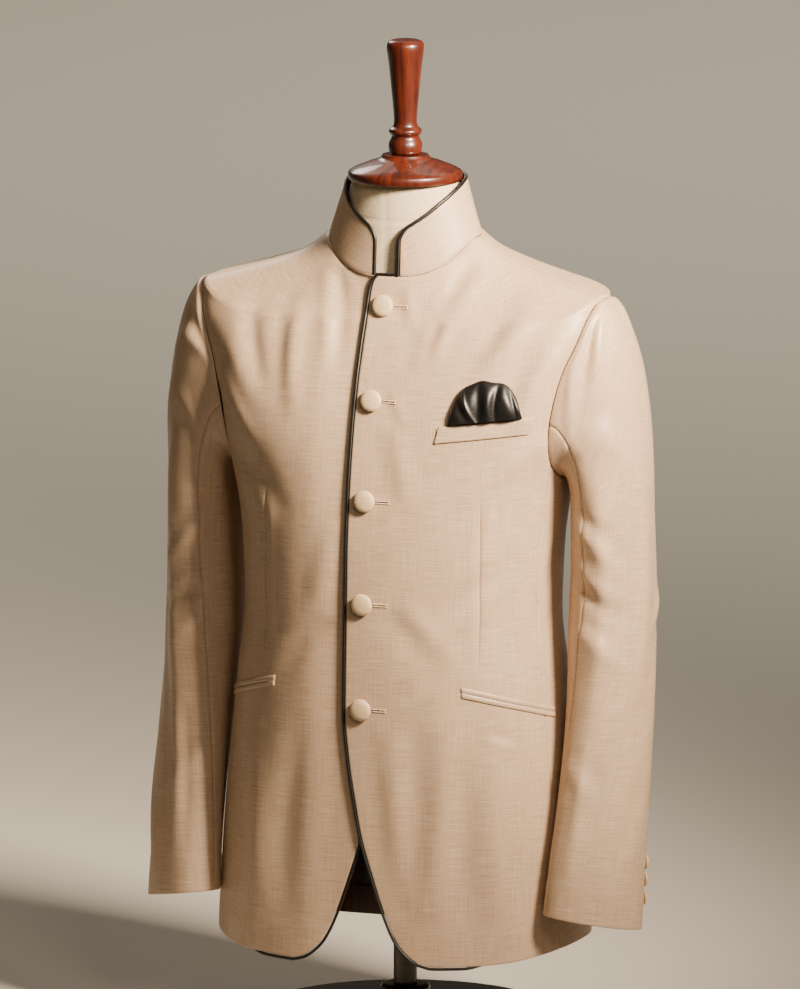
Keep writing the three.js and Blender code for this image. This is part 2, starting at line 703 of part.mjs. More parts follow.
// The dress form's torso and neck in one smooth closed solid
function buildTorso() {
  const angles = spread(0, 360, form.sides + 1).slice(0, -1);
  const insetAt = (angle, level) => {
    const shoulder = smoothstep(level, 760, 790) * Math.abs(Math.sin(radians(angle))) ** 6;
    const neck = smoothstep(level, 800, 830);
    return form.inset - (form.inset - form.shoulderInset) * shoulder * (1 - neck);
  };
  const rings = formLevels.map((level) =>
    angles.map((angle) => {
      const direction = outward(bodyPoint, angle, level, 0.6, 1.2, hemLevel, neckLevel);
      return bodyPoint(angle, level).addScaledVector(direction, -insetAt(angle, level));
    }),
  );
  for (const p of rings[0]) p.setZ(form.bottomLevel);
  const base = rings[rings.length - 1];
  for (const share of neckRows) {
    rings.push(
      base.map((low, j) => {
        const s = Math.sin(radians(angles[j]));
        const c = Math.cos(radians(angles[j]));
        const high = new THREE.Vector3(form.neckHalf * s, -(c > 0 ? form.neckFore : form.neckAft) * c, neckTop);
        return low.clone().lerp(high, share);
      }),
    );
  }
  return solidThrough(rings);
}

// The wood block that closes the form's bottom, with a step above its base board
function buildBlock() {
  const angles = spread(0, 360, block.sides + 1).slice(0, -1);
  const ring = (z, more) =>
    angles.map((angle) => {
      const p = bodyPoint(angle, block.top);
      const share = 1 - (block.inset - more) / Math.hypot(p.x, p.y);
      return new THREE.Vector3(p.x * share, p.y * share, z);
    });
  return solidThrough([
    ring(block.bottom, -1),
    ring(block.bottom + 2, block.lip),
    ring(block.step - 2, block.lip),
    ring(block.step, block.lip - 2),
    ring(block.step, 0),
    ring(block.top, 0),
  ]);
}

// A turned piece from radius and height pairs, standing on the axis
function addTurned(name, pairs, sides, material) {
  const profile = pairs.map(([r, z]) => new THREE.Vector2(r, z));
  const mesh = add(name, new THREE.LatheGeometry(profile, sides), material);
  mesh.rotation.x = Math.PI / 2;
}

const capProfile = [
  [0, cap.z],
  [cap.radius - 4, cap.z],
  [cap.radius, cap.z + 3],
  [cap.radius, cap.z + cap.rim],
  [cap.radius - 5, cap.z + cap.rim + 4],
  [cap.radius - 22, cap.z + cap.rim + 11],
  [27, cap.z + cap.rim + 14.5],
  [24, cap.z + cap.rim + 18.5],
  [18, cap.z + cap.rim + 19],
  [0, cap.z + cap.rim + 19],
];
const finialProfile = [
  [0, finial.z],
  [15.5, finial.z],
  [17.4, finial.z + 5],
  [17.4, finial.z + 11],
  [14.6, finial.z + 17],
  [14.4, finial.z + 19],
  [17, finial.z + 22],
  [17, finial.z + 25],
  [12.6, finial.z + 28.5],
  [12, finial.z + 34],
  [14, finial.z + 60],
  [17.4, finial.z + 94],
  [19.6, finial.z + 111],
  [18.4, finial.z + 116],
  [11, finial.z + 119],
  [0, finial.z + 120],
];
const poleProfile = [
  [0, pole.bottom],
  [pole.radius, pole.bottom],
  [pole.radius, block.bottom - seamGap],
  [0, block.bottom - seamGap],
];
const socketProfile = [
  [pole.radius + seamGap, socket.bottom],
  [socket.radius, socket.bottom],
  [socket.radius, socket.top - 4],
  [socket.radius - 4, socket.top],
  [pole.radius + seamGap, socket.top],
  [pole.radius + seamGap, socket.bottom],
];
const footProfile = [
  [0, 0],
  [foot.radius - 1.5, 0],
  [foot.radius, 1.5],
  [foot.radius, foot.thick - 4],
  [foot.radius - 4, foot.thick],
  [0, foot.thick],
];

add("front_left", buildFront(1), "cloth");
add("front_right", buildFront(-1), "cloth");
add("side_left", buildSide(1), "cloth");
add("side_right", buildSide(-1), "cloth");
add("back_left", buildBack(1), "cloth");
add("back_right", buildBack(-1), "cloth");
for (const [name, side] of [["left", 1], ["right", -1]]) {
  add(`sleeve_top_${name}`, buildSleevePiece(side, hindSeam, foreSeam, topSleeveColumns), "cloth");
  add(`sleeve_under_${name}`, buildSleevePiece(side, foreSeam, 360 + hindSeam, underSleeveColumns), "cloth");
  add(`piping_front_${name}`, buildFrontPiping(side), "satin");
  add(`hip_welt_${name}`, buildWelt(side, hipStops(), hipWelt.tall, hipWelt.thick), "cloth");
  cuffButtonHeights.forEach((level, i) => {
    const value = (level - capBase) / (cuffLevel - capBase);
    const point = onSleeve(cuffButtonAngle, value, cuffButton.seat);
    const direction = outward(sleevePoint, cuffButtonAngle, value, 0.8, 0.004, -1, 1);
    point.x *= side;
    direction.x *= side;
    addButton(`cuff_button_${name}_${i + 1}`, cuffButton, point, direction);
  });
}
const columns = collarColumnsOf();
add("collar", buildCollar(columns), "cloth");
add("piping_collar", buildCollarPiping(columns), "satin");
add("breast_welt", buildWelt(1, breastStops(), breastWelt.tall, breastWelt.thick), "cloth");
add("pocket_square", buildSquare(), "satin");
buttonHeights.forEach((height, i) => {
  const { angle, level } = findOnFront(0, height);
  const direction = outward(bodyPoint, angle, level, 0.6, 1.2, hemLevel, neckLevel);
  addButton(`button_${i + 1}`, button, onBody(angle, level, button.seat), direction);
});
add("form_torso", buildTorso(), "linen");
add("form_block", buildBlock(), "darkWood");
addTurned("form_neck_cap", capProfile, cap.sides, "wood");
addTurned("form_finial", finialProfile, finial.sides, "wood");
addTurned("stand_pole", poleProfile, pole.sides, "steel");
addTurned("stand_socket", socketProfile, socket.sides, "steel");
addTurned("stand_foot", footProfile, foot.sides, "steel");

export default coat;
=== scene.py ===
"""Looks of a jodhpuri coat worn on a limbless dress form.

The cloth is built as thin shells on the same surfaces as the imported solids, with soft
creases, darts, welts, stitched buttonholes and satin piping. Sizes are in millimetres
until a mesh is made. The coat's front faces -Y and the wearer's left is +X.
"""

import logging
import math
from dataclasses import dataclass
from enum import Enum
from typing import Any, Callable, Optional, Sequence

import bpy
import numpy as np
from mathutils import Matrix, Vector

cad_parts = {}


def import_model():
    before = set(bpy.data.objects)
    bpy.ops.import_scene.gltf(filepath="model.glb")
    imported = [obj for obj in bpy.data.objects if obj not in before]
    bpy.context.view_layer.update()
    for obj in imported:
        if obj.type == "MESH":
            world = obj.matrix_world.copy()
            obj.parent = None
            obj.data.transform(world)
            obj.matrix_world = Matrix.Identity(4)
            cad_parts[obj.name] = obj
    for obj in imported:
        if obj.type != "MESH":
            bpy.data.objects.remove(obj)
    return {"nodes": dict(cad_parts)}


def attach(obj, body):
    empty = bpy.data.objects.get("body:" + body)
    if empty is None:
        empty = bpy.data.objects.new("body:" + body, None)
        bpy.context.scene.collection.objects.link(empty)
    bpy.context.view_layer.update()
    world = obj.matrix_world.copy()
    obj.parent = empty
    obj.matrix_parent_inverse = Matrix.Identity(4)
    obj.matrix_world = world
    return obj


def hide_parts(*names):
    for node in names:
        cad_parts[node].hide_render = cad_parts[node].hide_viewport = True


Array = np.ndarray
Grids = tuple[Array, Array]
log = logging.getLogger("coat")


class Side(Enum):
    """The wearer's side that a piece belongs to."""

    LEFT = 1
    RIGHT = -1

    @property
    def word(self) -> str:
        """The side as it stands in a node's name."""
        return self.name.lower()


class Held(Enum):
    """How a sheet of cloth is held up."""

    HUNG = "hung"
    STRETCHED = "stretched"
    GATHERED = "gathered"


# ---- Smooth tables and small helpers ----


class Table:
    """Smooth readings of a small table's columns against its first column."""

    def __init__(self, names: str, rows: Sequence[Sequence[float]]) -> None:
        """Stores the rows and works out each column's slopes.

        Args:
            names: Column names after the first, parted by spaces.
            rows: One row for each value of the first column.
        """
        data = np.array(rows, float)
        self.at = data[:, 0]
        self.columns = {n: data[:, i + 1] for i, n in enumerate(names.split())}
        self.slopes = {n: self._slopes(v) for n, v in self.columns.items()}

    def _slopes(self, values: Array) -> Array:
        """Slopes at the rows, kept from overshooting.

        Args:
            values: One column.

        Returns:
            A slope for each row.
        """
        steps = np.diff(values) / np.diff(self.at)
        before, after = steps[:-1], steps[1:]
        same = before * after > 0
        inner = np.where(same, 2 * before * after / np.where(same, before + after, 1), 0)
        return np.concatenate([steps[:1], inner, steps[-1:]])

    def read(self, name: str, at: Any) -> Array:
        """Reads a column between its rows.

        Args:
            name: The column.
            at: Where to read it.

        Returns:
            The values there.
        """
        at = np.asarray(at, float)
        i = np.clip(np.searchsorted(self.at, at, side="left") - 1, 0, len(self.at) - 2)
        span = self.at[i + 1] - self.at[i]
        t = np.clip((at - self.at[i]) / span, 0, 1)
        low, high = self.columns[name][i], self.columns[name][i + 1]
        slope_low, slope_high = self.slopes[name][i] * span, self.slopes[name][i + 1] * span
        t2, t3 = t * t, t * t * t
        return (
            (2 * t3 - 3 * t2 + 1) * low
            + (t3 - 2 * t2 + t) * slope_low
            + (3 * t2 - 2 * t3) * high
            + (t3 - t2) * slope_high
        )


def smoothstep(value: Any, low: float, high: float) -> Array:
    """A smooth step from 0 at low to 1 at high."""
    t = np.clip((np.asarray(value, float) - low) / (high - low), 0, 1)
    return t * t * (3 - 2 * t)


def signed_power(value: Array, power: Array) -> Array:
    """A power that keeps its value's sign."""
    return np.sign(value) * np.abs(value) ** power


def unit(vectors: Array) -> Array:
    """Vectors of length one."""
    return vectors / np.maximum(np.linalg.norm(vectors, axis=-1, keepdims=True), 1e-12)


def refined(levels: Sequence[float], step: float) -> Array:
    """Levels with each gap cut into equal parts no longer than a step.

    Args:
        levels: Rising levels.
        step: The longest part.

    Returns:
        The finer levels.
    """
    found = [float(levels[0])]
    for low, high in zip(levels[:-1], levels[1:]):
        parts = max(2, math.ceil((high - low) / step))
        found += [low + (high - low) * (k + 1) / parts for k in range(parts)]
    return np.array(found)


def edged(count: int, edge: Sequence[float], length: float) -> Array:
    """Shares from 0 to 1, spread evenly but drawn close together at both ends.

    Args:
        count: How many shares there are in all.
        edge: Distances of the close ones from an end, in millimetres.
        length: The whole length in millimetres.

    Returns:
        The shares.
    """
    near = np.array(edge) / length
    middle = np.linspace(near[-1], 1 - near[-1], count - 2 * len(edge) + 2)
    return np.concatenate([near[:-1], middle, 1 - near[:-1][::-1]])


def row_distance(points: Array) -> tuple[Array, Array]:
    """Distance along each row of a grid from its first and from its last column.

    Args:
        points: A grid of points.

    Returns:
        The two distances for each point.
    """
    steps = np.linalg.norm(np.diff(points, axis=1), axis=2)
    first = np.concatenate([np.zeros((len(points), 1)), np.cumsum(steps, axis=1)], axis=1)
    return first, first[:, -1:] - first


# ---- Surfaces of the coat, in millimetres ----

WALL = 1.6
SEAM_GAP = 0.3
HEM_LEVEL = 90.0
NECK_LEVEL = 838.0
TIP_LEVEL = 781.0
CAP_BASE = 560.0
CUFF_LEVEL = 134.0
SLEEVE_DROP = CAP_BASE - CUFF_LEVEL
EDGE_STEPS = (0.0, 0.35, 0.9, 1.7, 2.8, 4.4)


@dataclass(frozen=True)
class Fold:
    """A broad soft fold at an angle and a level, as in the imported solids."""

    angle: float
    level: float
    wide: float
    tall: float
    lean: float
    out: float

    def lift(self, angle: Array, level: Array) -> Array:
        """How far the fold pushes the cloth out.

        Args:
            angle: Angles round the surface.
            level: Levels or heights.

        Returns:
            The lift at each place.
        """
        up = level - self.level
        across = np.mod(angle - self.angle - self.lean * up + 180, 360) - 180
        return self.out * np.exp(-((across / self.wide) ** 2) - (up / self.tall) ** 2)


@dataclass(frozen=True)
class Crease:
    """A soft ridge with a shallow valley beside it, between two places."""

    from_x: float
    from_up: float
    to_x: float
    to_up: float
    wide: float
    out: float
    peak: float
    bow: float
    valley: float = 0.55

    def lift(self, across: Array, up: Array) -> Array:
        """How far the crease pushes the cloth out.

        Args:
            across: Place across the cloth, in millimetres.
            up: Place up the cloth, in millimetres.

        Returns:
            The lift at each place.
        """
        run_x, run_up = self.to_x - self.from_x, self.to_up - self.from_up
        length = math.hypot(run_x, run_up)
        a, b = across - self.from_x, up - self.from_up
        t = np.clip((a * run_x + b * run_up) / length**2, 0, 1)
        side = (a * run_up - b * run_x) / length - self.bow * 4 * t * (1 - t)
        fade = np.sin(np.pi * t ** (math.log(0.5) / math.log(self.peak)))
        ridge = np.exp(-((side / self.wide) ** 2))
        trough = np.exp(-(((side - 1.7 * self.wide) / (1.1 * self.wide)) ** 2))
        return self.out * fade * (ridge - self.valley * trough)


def creases(*rows: tuple[float, ...]) -> tuple[Crease, ...]:
    """Creases from rows: where each starts and ends, its width, height, peak, bow and valley."""
    return tuple(Crease(*row) for row in rows)


BODY_RINGS = Table(
    "z_front z_side z_back half fore aft square rise",
    [
        [90, 90, 104, 96, 198, 142, 122, 2.3, 4],
        [200, 200, 202, 200, 193, 138, 122, 2.3, 4],
        [300, 300, 300, 300, 184, 135.5, 117, 2.3, 4],
        [380, 380, 380, 380, 176, 133.5, 107, 2.25, 4],
        [450, 450, 450, 450, 169, 131, 98, 2.2, 4],
        [520, 520, 520, 520, 171.5, 128.5, 100, 2.25, 4],
        [590, 588, 590, 590, 181, 121, 108, 2.4, 4],
        [650, 645, 652, 655, 196, 110, 113, 2.8, 4],
        [710, 694, 712, 712, 209, 97, 110, 3, 4],
        [755, 730, 756, 762, 219, 84, 100, 3, 4],
        [781, 752, 781, 793, 219, 75, 88, 2.7, 4],
        [785, 755.5, 785, 797, 206, 73.5, 86, 2.6, 4],
        [800, 768, 801.5, 814, 150, 68, 76, 2.4, 3.6],
        [817, 783, 817, 831, 110, 64, 68, 2.2, 3.2],
        [838, 800, 838, 850, 81, 60, 62, 2.1, 3],
    ],
)
BODY_FOLDS = (
    Fold(118, 130, 11, 170, 0.01, 4),
    Fold(-120, 120, 10, 150, -0.01, 3.6),
    Fold(152, 110, 12, 180, 0, 4.2),
    Fold(-155, 125, 11, 150, 0, 3.4),
    Fold(48, 170, 10, 150, 0.015, 2.6),
    Fold(-46, 150, 10, 140, -0.015, 2.2),
    Fold(46, 700, 7, 55, 0.12, 1.6),
    Fold(-42, 720, 7, 50, -0.1, 1.5),
)
# Places on the fronts are x and z; each ridge lies where the cloth drags in wear
FRONT_CREASES = creases(
    (100, 812, 62, 706, 8, 4.2, 0.35, 6, 0.85),
    (72, 800, 48, 700, 9, 2.2, 0.45, 5),
    (166, 796, 104, 696, 12, 4.6, 0.42, -8, 0.6),
    (150, 800, 132, 742, 8, 2.0, 0.5, 3),
    (188, 735, 150, 640, 11, 2.8, 0.4, 4),
    (-58, 806, -44, 700, 8, -3.6, 0.38, -5, 0.7),
    (-92, 786, -84, 650, 10, 3.0, 0.4, 5),
    (-150, 784, -118, 672, 11, -3.0, 0.45, 6),
    (-178, 700, -126, 618, 10, 2.6, 0.4, 4),
    (182, 640, 92, 560, 13, 2.2, 0.35, 6),
    (-170, 620, -84, 545, 13, -2.2, 0.35, -6),
    (28, 660, 54, 560, 12, 1.6, 0.5, 3),
    (36, 474, 100, 396, 12, 2.0, 0.4, -5),
    (150, 520, 60, 450, 12, -1.8, 0.4, -5),
    (-30, 560, -52, 440, 13, 1.8, 0.5, 3),
    (-40, 452, -104, 370, 12, -1.9, 0.4, 5),
    (84, 372, 68, 120, 16, 3.4, 0.5, -10, 0.8),
    (134, 336, 148, 100, 17, 3.6, 0.5, 6, 0.7),
    (34, 340, 58, 140, 13, 2.2, 0.45, 6),
    (-66, 350, -86, 110, 16, -2.8, 0.5, 9),
    (-130, 334, -130, 100, 15, 3.0, 0.5, -6),
    (126, 338, 160, 322, 5, -1.2, 0.5, 1),
    (24, 795, 40, 742, 7, 1.3, 0.5, 2),
    (20, 690, 46, 648, 6, 0.9, 0.4, 2),
    (20, 560, 50, 590, 6, 0.8, 0.4, 2),
)
BACK_CREASES = creases(
    (168, 730, 88, 640, 12, 4.0, 0.35, 8),
    (-168, 724, -92, 630, 12, 3.8, 0.35, -8),
    (176, 660, 110, 560, 12, 2.0, 0.4, 6),
    (-176, 650, -104, 566, 12, -1.8, 0.4, -6),
    (60, 842, 22, 800, 12, -1.8, 0.5, 3),
    (-60, 842, -22, 800, 12, -1.8, 0.5, -3),
    (118, 506, 28, 452, 11, -3.0, 0.4, -4),
    (-120, 496, -32, 440, 11, 2.9, 0.4, 4),
    (90, 450, 20, 420, 11, 1.4, 0.5, 3),
    (-94, 446, -22, 410, 11, -1.4, 0.5, -3),
    (72, 360, 88, 100, 16, 3.6, 0.6, 6),
    (-64, 370, -84, 98, 16, -3.4, 0.6, -7),
    (20, 330, 28, 110, 14, 1.3, 0.6, 3),
)
# Places on a sleeve are the angle from its back, about a millimetre a degree, and the height
SLEEVE_CREASES = {
    Side.LEFT: creases(
        (118, 748, 164, 676, 8, -3.0, 0.42, -5, 0.5),
        (150, 752, 186, 668, 9, 2.2, 0.45, -4),
        (70, 760, 88, 650, 10, 2.0, 0.4, -4),
        (200, 660, 112, 560, 11, 3.2, 0.38, 8),
        (220, 552, 136, 490, 10, 3.0, 0.35, 6, 0.8),
        (216, 494, 132, 450, 9, -2.8, 0.35, -5, 0.8),
        (204, 440, 124, 392, 9, 2.4, 0.4, 4),
        (26, 476, 96, 424, 10, 2.2, 0.4, -4),
        (176, 620, 164, 320, 13, 2.8, 0.5, 4, 0.7),
        (140, 610, 128, 300, 13, -2.4, 0.5, 5),
        (96, 600, 104, 330, 15, 1.8, 0.5, -5),
        (164, 330, 142, 165, 11, 2.4, 0.4, 4),
        (70, 300, 86, 160, 12, -1.8, 0.5, -3),
        (190, 300, 120, 246, 10, 1.8, 0.4, 5),
    ),
    Side.RIGHT: creases(
        (170, 744, 126, 646, 9, 3.0, 0.42, 5),
        (60, 750, 84, 640, 10, -2.0, 0.4, -4),
        (192, 640, 104, 548, 11, -2.8, 0.38, 8),
        (216, 526, 130, 470, 10, 3.0, 0.35, 6, 0.8),
        (208, 470, 116, 430, 8, -2.8, 0.35, -5, 0.8),
        (200, 426, 128, 380, 9, 2.2, 0.4, 4),
        (34, 480, 100, 436, 10, 2.2, 0.4, -4),
        (146, 620, 136, 280, 13, 2.6, 0.5, -5, 0.7),
        (96, 560, 94, 300, 14, -2.0, 0.5, 5),
        (158, 340, 136, 170, 11, -2.2, 0.4, -4),
        (64, 290, 84, 150, 12, 1.9, 0.5, 3),
        (180, 280, 112, 236, 10, 1.8, 0.4, 5),
    ),
}
FRONT_EDGE = Table(
    "x",
    [
        [90, 76], [94, 63], [100, 54], [113, 42], [142, 28], [180, 14.5], [224, 1], [260, -6],
        [302, -13], [355, -18], [700, -17], [800, -16], [820, -15], [831, -13], [838, -9],
    ],
)


class Surface:
    """A surface read at an angle round it, in degrees, and at a rise up it."""

    turn_step = 0.8
    rise_step = 0.02
    lowest = 0.0
    highest = 1.0

    def point(self, angle: Any, rise: Any) -> Array:
        """Points of the surface before folds. Each kind of surface gives its own."""
        raise NotImplementedError

    def on(self, angle: Any, rise: Any, out: Any) -> Array:
        """Points on the folded cloth, moved out. Each kind of surface gives its own."""
        raise NotImplementedError

    def outward(self, angle: Any, rise: Any) -> Array:
        """Outward directions of the surface, before folds.

        Args:
            angle: Angles round the surface.
            rise: Places up the surface.

        Returns:
            Directions of length one.
        """
        angle, rise = np.asarray(angle, float), np.asarray(rise, float)
        along = self.point(angle + self.turn_step, rise) - self.point(angle - self.turn_step, rise)
        above = np.minimum(rise + self.rise_step, self.highest)
        below = np.maximum(rise - self.rise_step, self.lowest)
        return unit(np.cross(along, self.point(angle, above) - self.point(angle, below)))


class Body(Surface):
    """The coat's body: a ring at each level, from the hem to the neck seam."""

    turn_step = 0.6
    rise_step = 1.2
    lowest = HEM_LEVEL
    highest = NECK_LEVEL

    def point(self, angle: Any, level: Any) -> Array:
        """Points of the outer surface, before folds.

        Args:
            angle: Angles round the body from the centre front.
            level: Levels.

        Returns:
            The points.
        """
        angle, level = np.broadcast_arrays(np.asarray(angle, float), np.asarray(level, float))
        s, c = np.sin(np.radians(angle)), np.cos(np.radians(angle))
        read = BODY_RINGS.read
        power = 2 / read("square", level)
        depth = np.where(c > 0, read("fore", level), read("aft", level))
        z_middle = np.where(c > 0, read("z_front", level), read("z_back", level))
        climb = np.abs(s) ** read("rise", level)
        x = read("half", level) * signed_power(s, power)
        z = z_middle + (read("z_side", level) - z_middle) * climb
        return np.stack([x, -depth * signed_power(c, power), z], axis=-1)

    def on(self, angle: Any, level: Any, out: Any) -> Array:
        """Points on the creased cloth, moved out.

        Args:
            angle: Angles round the body from the centre front.
            level: Levels.
            out: How far out from the cloth's outer surface.

        Returns:
            The points.
        """
        base = self.point(angle, level)
        signed = np.mod(np.asarray(angle, float) + 180, 360) - 180
        lift = np.asarray(out, float) + sum(f.lift(signed, level) for f in BODY_FOLDS)
        x, z = base[..., 0], base[..., 2]
        front = 1 - smoothstep(np.abs(signed), 72, 92)
        back = smoothstep(np.abs(signed), 88, 108)
        lift = lift + front * sum(c.lift(x, z) for c in FRONT_CREASES)
        lift = lift + back * sum(c.lift(x, z) for c in BACK_CREASES)
        return base + self.outward(angle, level) * lift[..., None]

    def angle_of_x(self, x: Any, level: Any) -> Array:
        """The angle at which a ring lies a given way from the centre line.

        Args:
            x: Places across.
            level: Levels.

        Returns:
            The angles.
        """
        x = np.asarray(x, float)
        share = np.minimum(np.abs(x) / BODY_RINGS.read("half", level), 1)
        return np.sign(x) * np.degrees(np.arcsin(share ** (BODY_RINGS.read("square", level) / 2)))

    def find_on_front(self, x: Any, z: Any) -> tuple[Array, Array]:
        """Angles and levels of the front's points at given x and z.

        Args:
            x: Places across.
            z: Heights.

        Returns:
            Angles and levels.
        """
        level = np.array(z, float)
        for _ in range(30):
            level = level + z - self.point(self.angle_of_x(x, level), level)[..., 2]
        return self.angle_of_x(x, level), level


BODY = Body()


@dataclass(frozen=True)
class Armhole:
    """The armhole, an oval in angle and level on the body."""

    angle: float = 90
    level: float = 687
    half_angle: float = 29
    half_level: float = 94
    square: float = 2.3
    inset: float = 0.45

    def oval(self, share: Array) -> Array:
        """The oval's other half-width at a share of one."""
        return (1 - np.clip(np.abs(share), 0, 1) ** self.square) ** (1 / self.square)

    def angle_at(self, level: Any, towards: int) -> Array:
        """Front or back angle of the armhole's edge at a level."""
        share = (np.asarray(level) - self.level) / self.half_level
        return self.angle + towards * self.half_angle * self.oval(share)

    def bottom(self, angle: Any) -> Array:
        """Lowest level of the armhole's edge at an angle."""
        share = (np.asarray(angle) - self.angle) / self.half_angle
        return self.level - self.half_level * self.oval(share)

    def point(self, angle: Array) -> Array:
        """Points just inside the edge.

        Args:
            angle: Angles from the back, over the shoulder, to the front.

        Returns:
            The points.
        """
        half_angle = self.half_angle - math.degrees(self.inset / 200)
        power, turn = 2 / self.square, np.radians(angle)
        across = self.angle + half_angle * signed_power(np.cos(turn), power)
        level = self.level + (self.half_level - self.inset) * signed_power(np.sin(turn), power)
        return BODY.point(across, level)


ARMHOLE = Armhole()
SLEEVE_RINGS = Table(
    "x y long short turn tilt",
    [
        [134, 226.5, -56, 53, 31.5, 40, 10],
        [190, 227.5, -45, 52.5, 33.5, 45, 6],
        [245, 228.5, -30, 52.5, 36, 53, 3],
        [350, 227.5, -3, 54, 40.5, 72, 0],
        [440, 225, 10, 58, 43, 86, 0],
        [500, 224.5, 14, 62, 41.5, 90, 0],
        [560, 224, 13, 66, 40, 90, 0],
    ],
)
SLEEVE_FOLDS = (
    Fold(150, 455, 34, 22, 0.5, -2.6),
    Fold(165, 410, 30, 18, 0.6, 2),
    Fold(40, 470, 30, 60, 0, 1.8),
    Fold(120, 300, 22, 120, 0.05, -2),
    Fold(75, 250, 20, 110, -0.04, 1.8),
)


class SleeveSurface(Surface):
    """A left sleeve: its head from the armhole, then rings down to the cuff.

    A rise runs from -1 at the armhole by 0 at the first ring to 1 at the cuff.
    """

    rise_step = 0.004
    lowest = -1.0

    def __init__(self, side: Side) -> None:
        """Keeps the side, which mirrors the points and picks the creases."""
        self.side = side

    def ring(self, angle: Array, level: Any) -> Array:
        """Points on the sleeve's rings.

        Args:
            angle: Angles from the sleeve's back.
            level: Heights.

        Returns:
            The points.
        """
        read = SLEEVE_RINGS.read
        turn, a = np.radians(read("turn", level)), np.radians(angle)
        along, across = read("long", level) * np.cos(a), read("short", level) * np.sin(a)
        x = read("x", level) + along * np.cos(turn) + across * np.sin(turn)
        y = read("y", level) + along * np.sin(turn) - across * np.cos(turn)
        return np.stack([x, y, level - read("tilt", level) * np.cos(a)], axis=-1)

    def head(self, angle: Array, share: Array) -> Array:
        """Points of the sleeve head, on curves that leave the armhole square to it.

        Args:
            angle: Angles from the sleeve's back.
            share: Places from the armhole (0) to the first ring (1).

        Returns:
            The points.
        """
        s, c = np.sin(np.radians(angle)), np.cos(np.radians(angle))
        over, under, aside = np.maximum(s, 0), np.maximum(-s, 0), np.abs(c)
        start, end = ARMHOLE.point(angle), self.ring(angle, np.full_like(angle, CAP_BASE))
        leave = unit(np.stack([np.ones_like(s), 0.25 * c, 0.25 * under - 0.27 * over], axis=-1))
        first = start + leave * (7 + 17 * over + 6 * aside)[..., None]
        last = end.copy()
        last[..., 2] += 14 + 116 * over + 46 * aside
        t = np.asarray(share, float)[..., None]
        near, far = (1 - t) ** 3 * start + t**3 * end, (1 - t) * first + t * last
        return near + 3 * (1 - t) * t * far

    def point(self, angle: Any, value: Any) -> Array:
        """Points of the left sleeve, before folds.

        Args:
            angle: Angles from the sleeve's back.
            value: Rises.

        Returns:
            The points.
        """
        angle, value = np.broadcast_arrays(np.asarray(angle, float), np.asarray(value, float))
        head = self.head(angle, np.clip(value + 1, 0, 1))
        tube = self.ring(angle, CAP_BASE - SLEEVE_DROP * np.clip(value, 0, 1))
        return np.where((value < 0)[..., None], head, tube)

    def on(self, angle: Any, value: Any, out: Any) -> Array:
        """Points on the creased sleeve, moved out, on the sleeve's own side.

        Args:
            angle: Angles from the sleeve's back.
            value: Rises.
            out: How far out from the cloth's outer surface.

        Returns:
            The points.
        """
        angle, value = np.asarray(angle, float), np.asarray(value, float)
        level = CAP_BASE - value * np.where(value < 0, 200, SLEEVE_DROP)
        lift = np.asarray(out, float) + sum(f.lift(angle, level) for f in SLEEVE_FOLDS)
        calm = smoothstep(value, -0.99, -0.86) * (1 - smoothstep(value, 0.96, 1))
        creases = sum(c.lift(angle, level) for c in SLEEVE_CREASES[self.side])
        # Roping: the head stands up a little beside its seam
        beside = np.exp(-(((value + 0.93) / 0.045) ** 2))
        rope = 1.5 * beside * np.clip(np.sin(np.radians(angle)), 0, 1)
        lift = lift + calm * creases + rope
        found = self.point(angle, value) + self.outward(angle, value) * lift[..., None]
        found[..., 0] *= self.side.value
        return found


COLLAR_TOP = Table(
    "z",
    [
        [0, 837], [13, 845], [22, 851], [38, 862], [56, 875], [80, 887.5], [100, 893], [125, 895],
        [180, 894],
    ],
)


@dataclass(frozen=True)
class CollarSurface(Surface):
    """The stand collar's surface, from the neck seam to its leaning top edge."""

    half: float = 64.5
    fore: float = 57.5
    aft: float = 64.5

    def point(self, angle: Any, share: Any) -> Array:
        """Points of the collar, before its wave.

        Args:
            angle: Angles from the centre front.
            share: Shares of the collar's height.

        Returns:
            The points.
        """
        angle, share = np.broadcast_arrays(np.asarray(angle, float), np.asarray(share, float))
        low = BODY.point(angle, np.full_like(angle, NECK_LEVEL))
        low[..., 2] += SEAM_GAP
        s, c = np.sin(np.radians(angle)), np.cos(np.radians(angle))
        turned = np.mod(angle, 360)
        z = COLLAR_TOP.read("z", np.where(turned > 180, 360 - turned, turned))
        high = np.stack([self.half * s, -np.where(c > 0, self.fore, self.aft) * c, z], axis=-1)
        return low + (high - low) * share[..., None]

    def on(self, angle: Any, share: Any, out: Any) -> Array:
        """Points on the collar, moved out.

        Args:
            angle: Angles from the centre front.
            share: Shares of the collar's height.
            out: How far out.

        Returns:
            The points.
        """
        wave = np.sin(np.radians(np.asarray(angle) * 5 + 40)) * np.sin(np.pi * np.asarray(share))
        lift = np.asarray(out, float) + 0.5 * wave
        return self.point(angle, share) + self.outward(angle, share) * lift[..., None]


COLLAR = CollarSurface()


# ---- Meshes ----


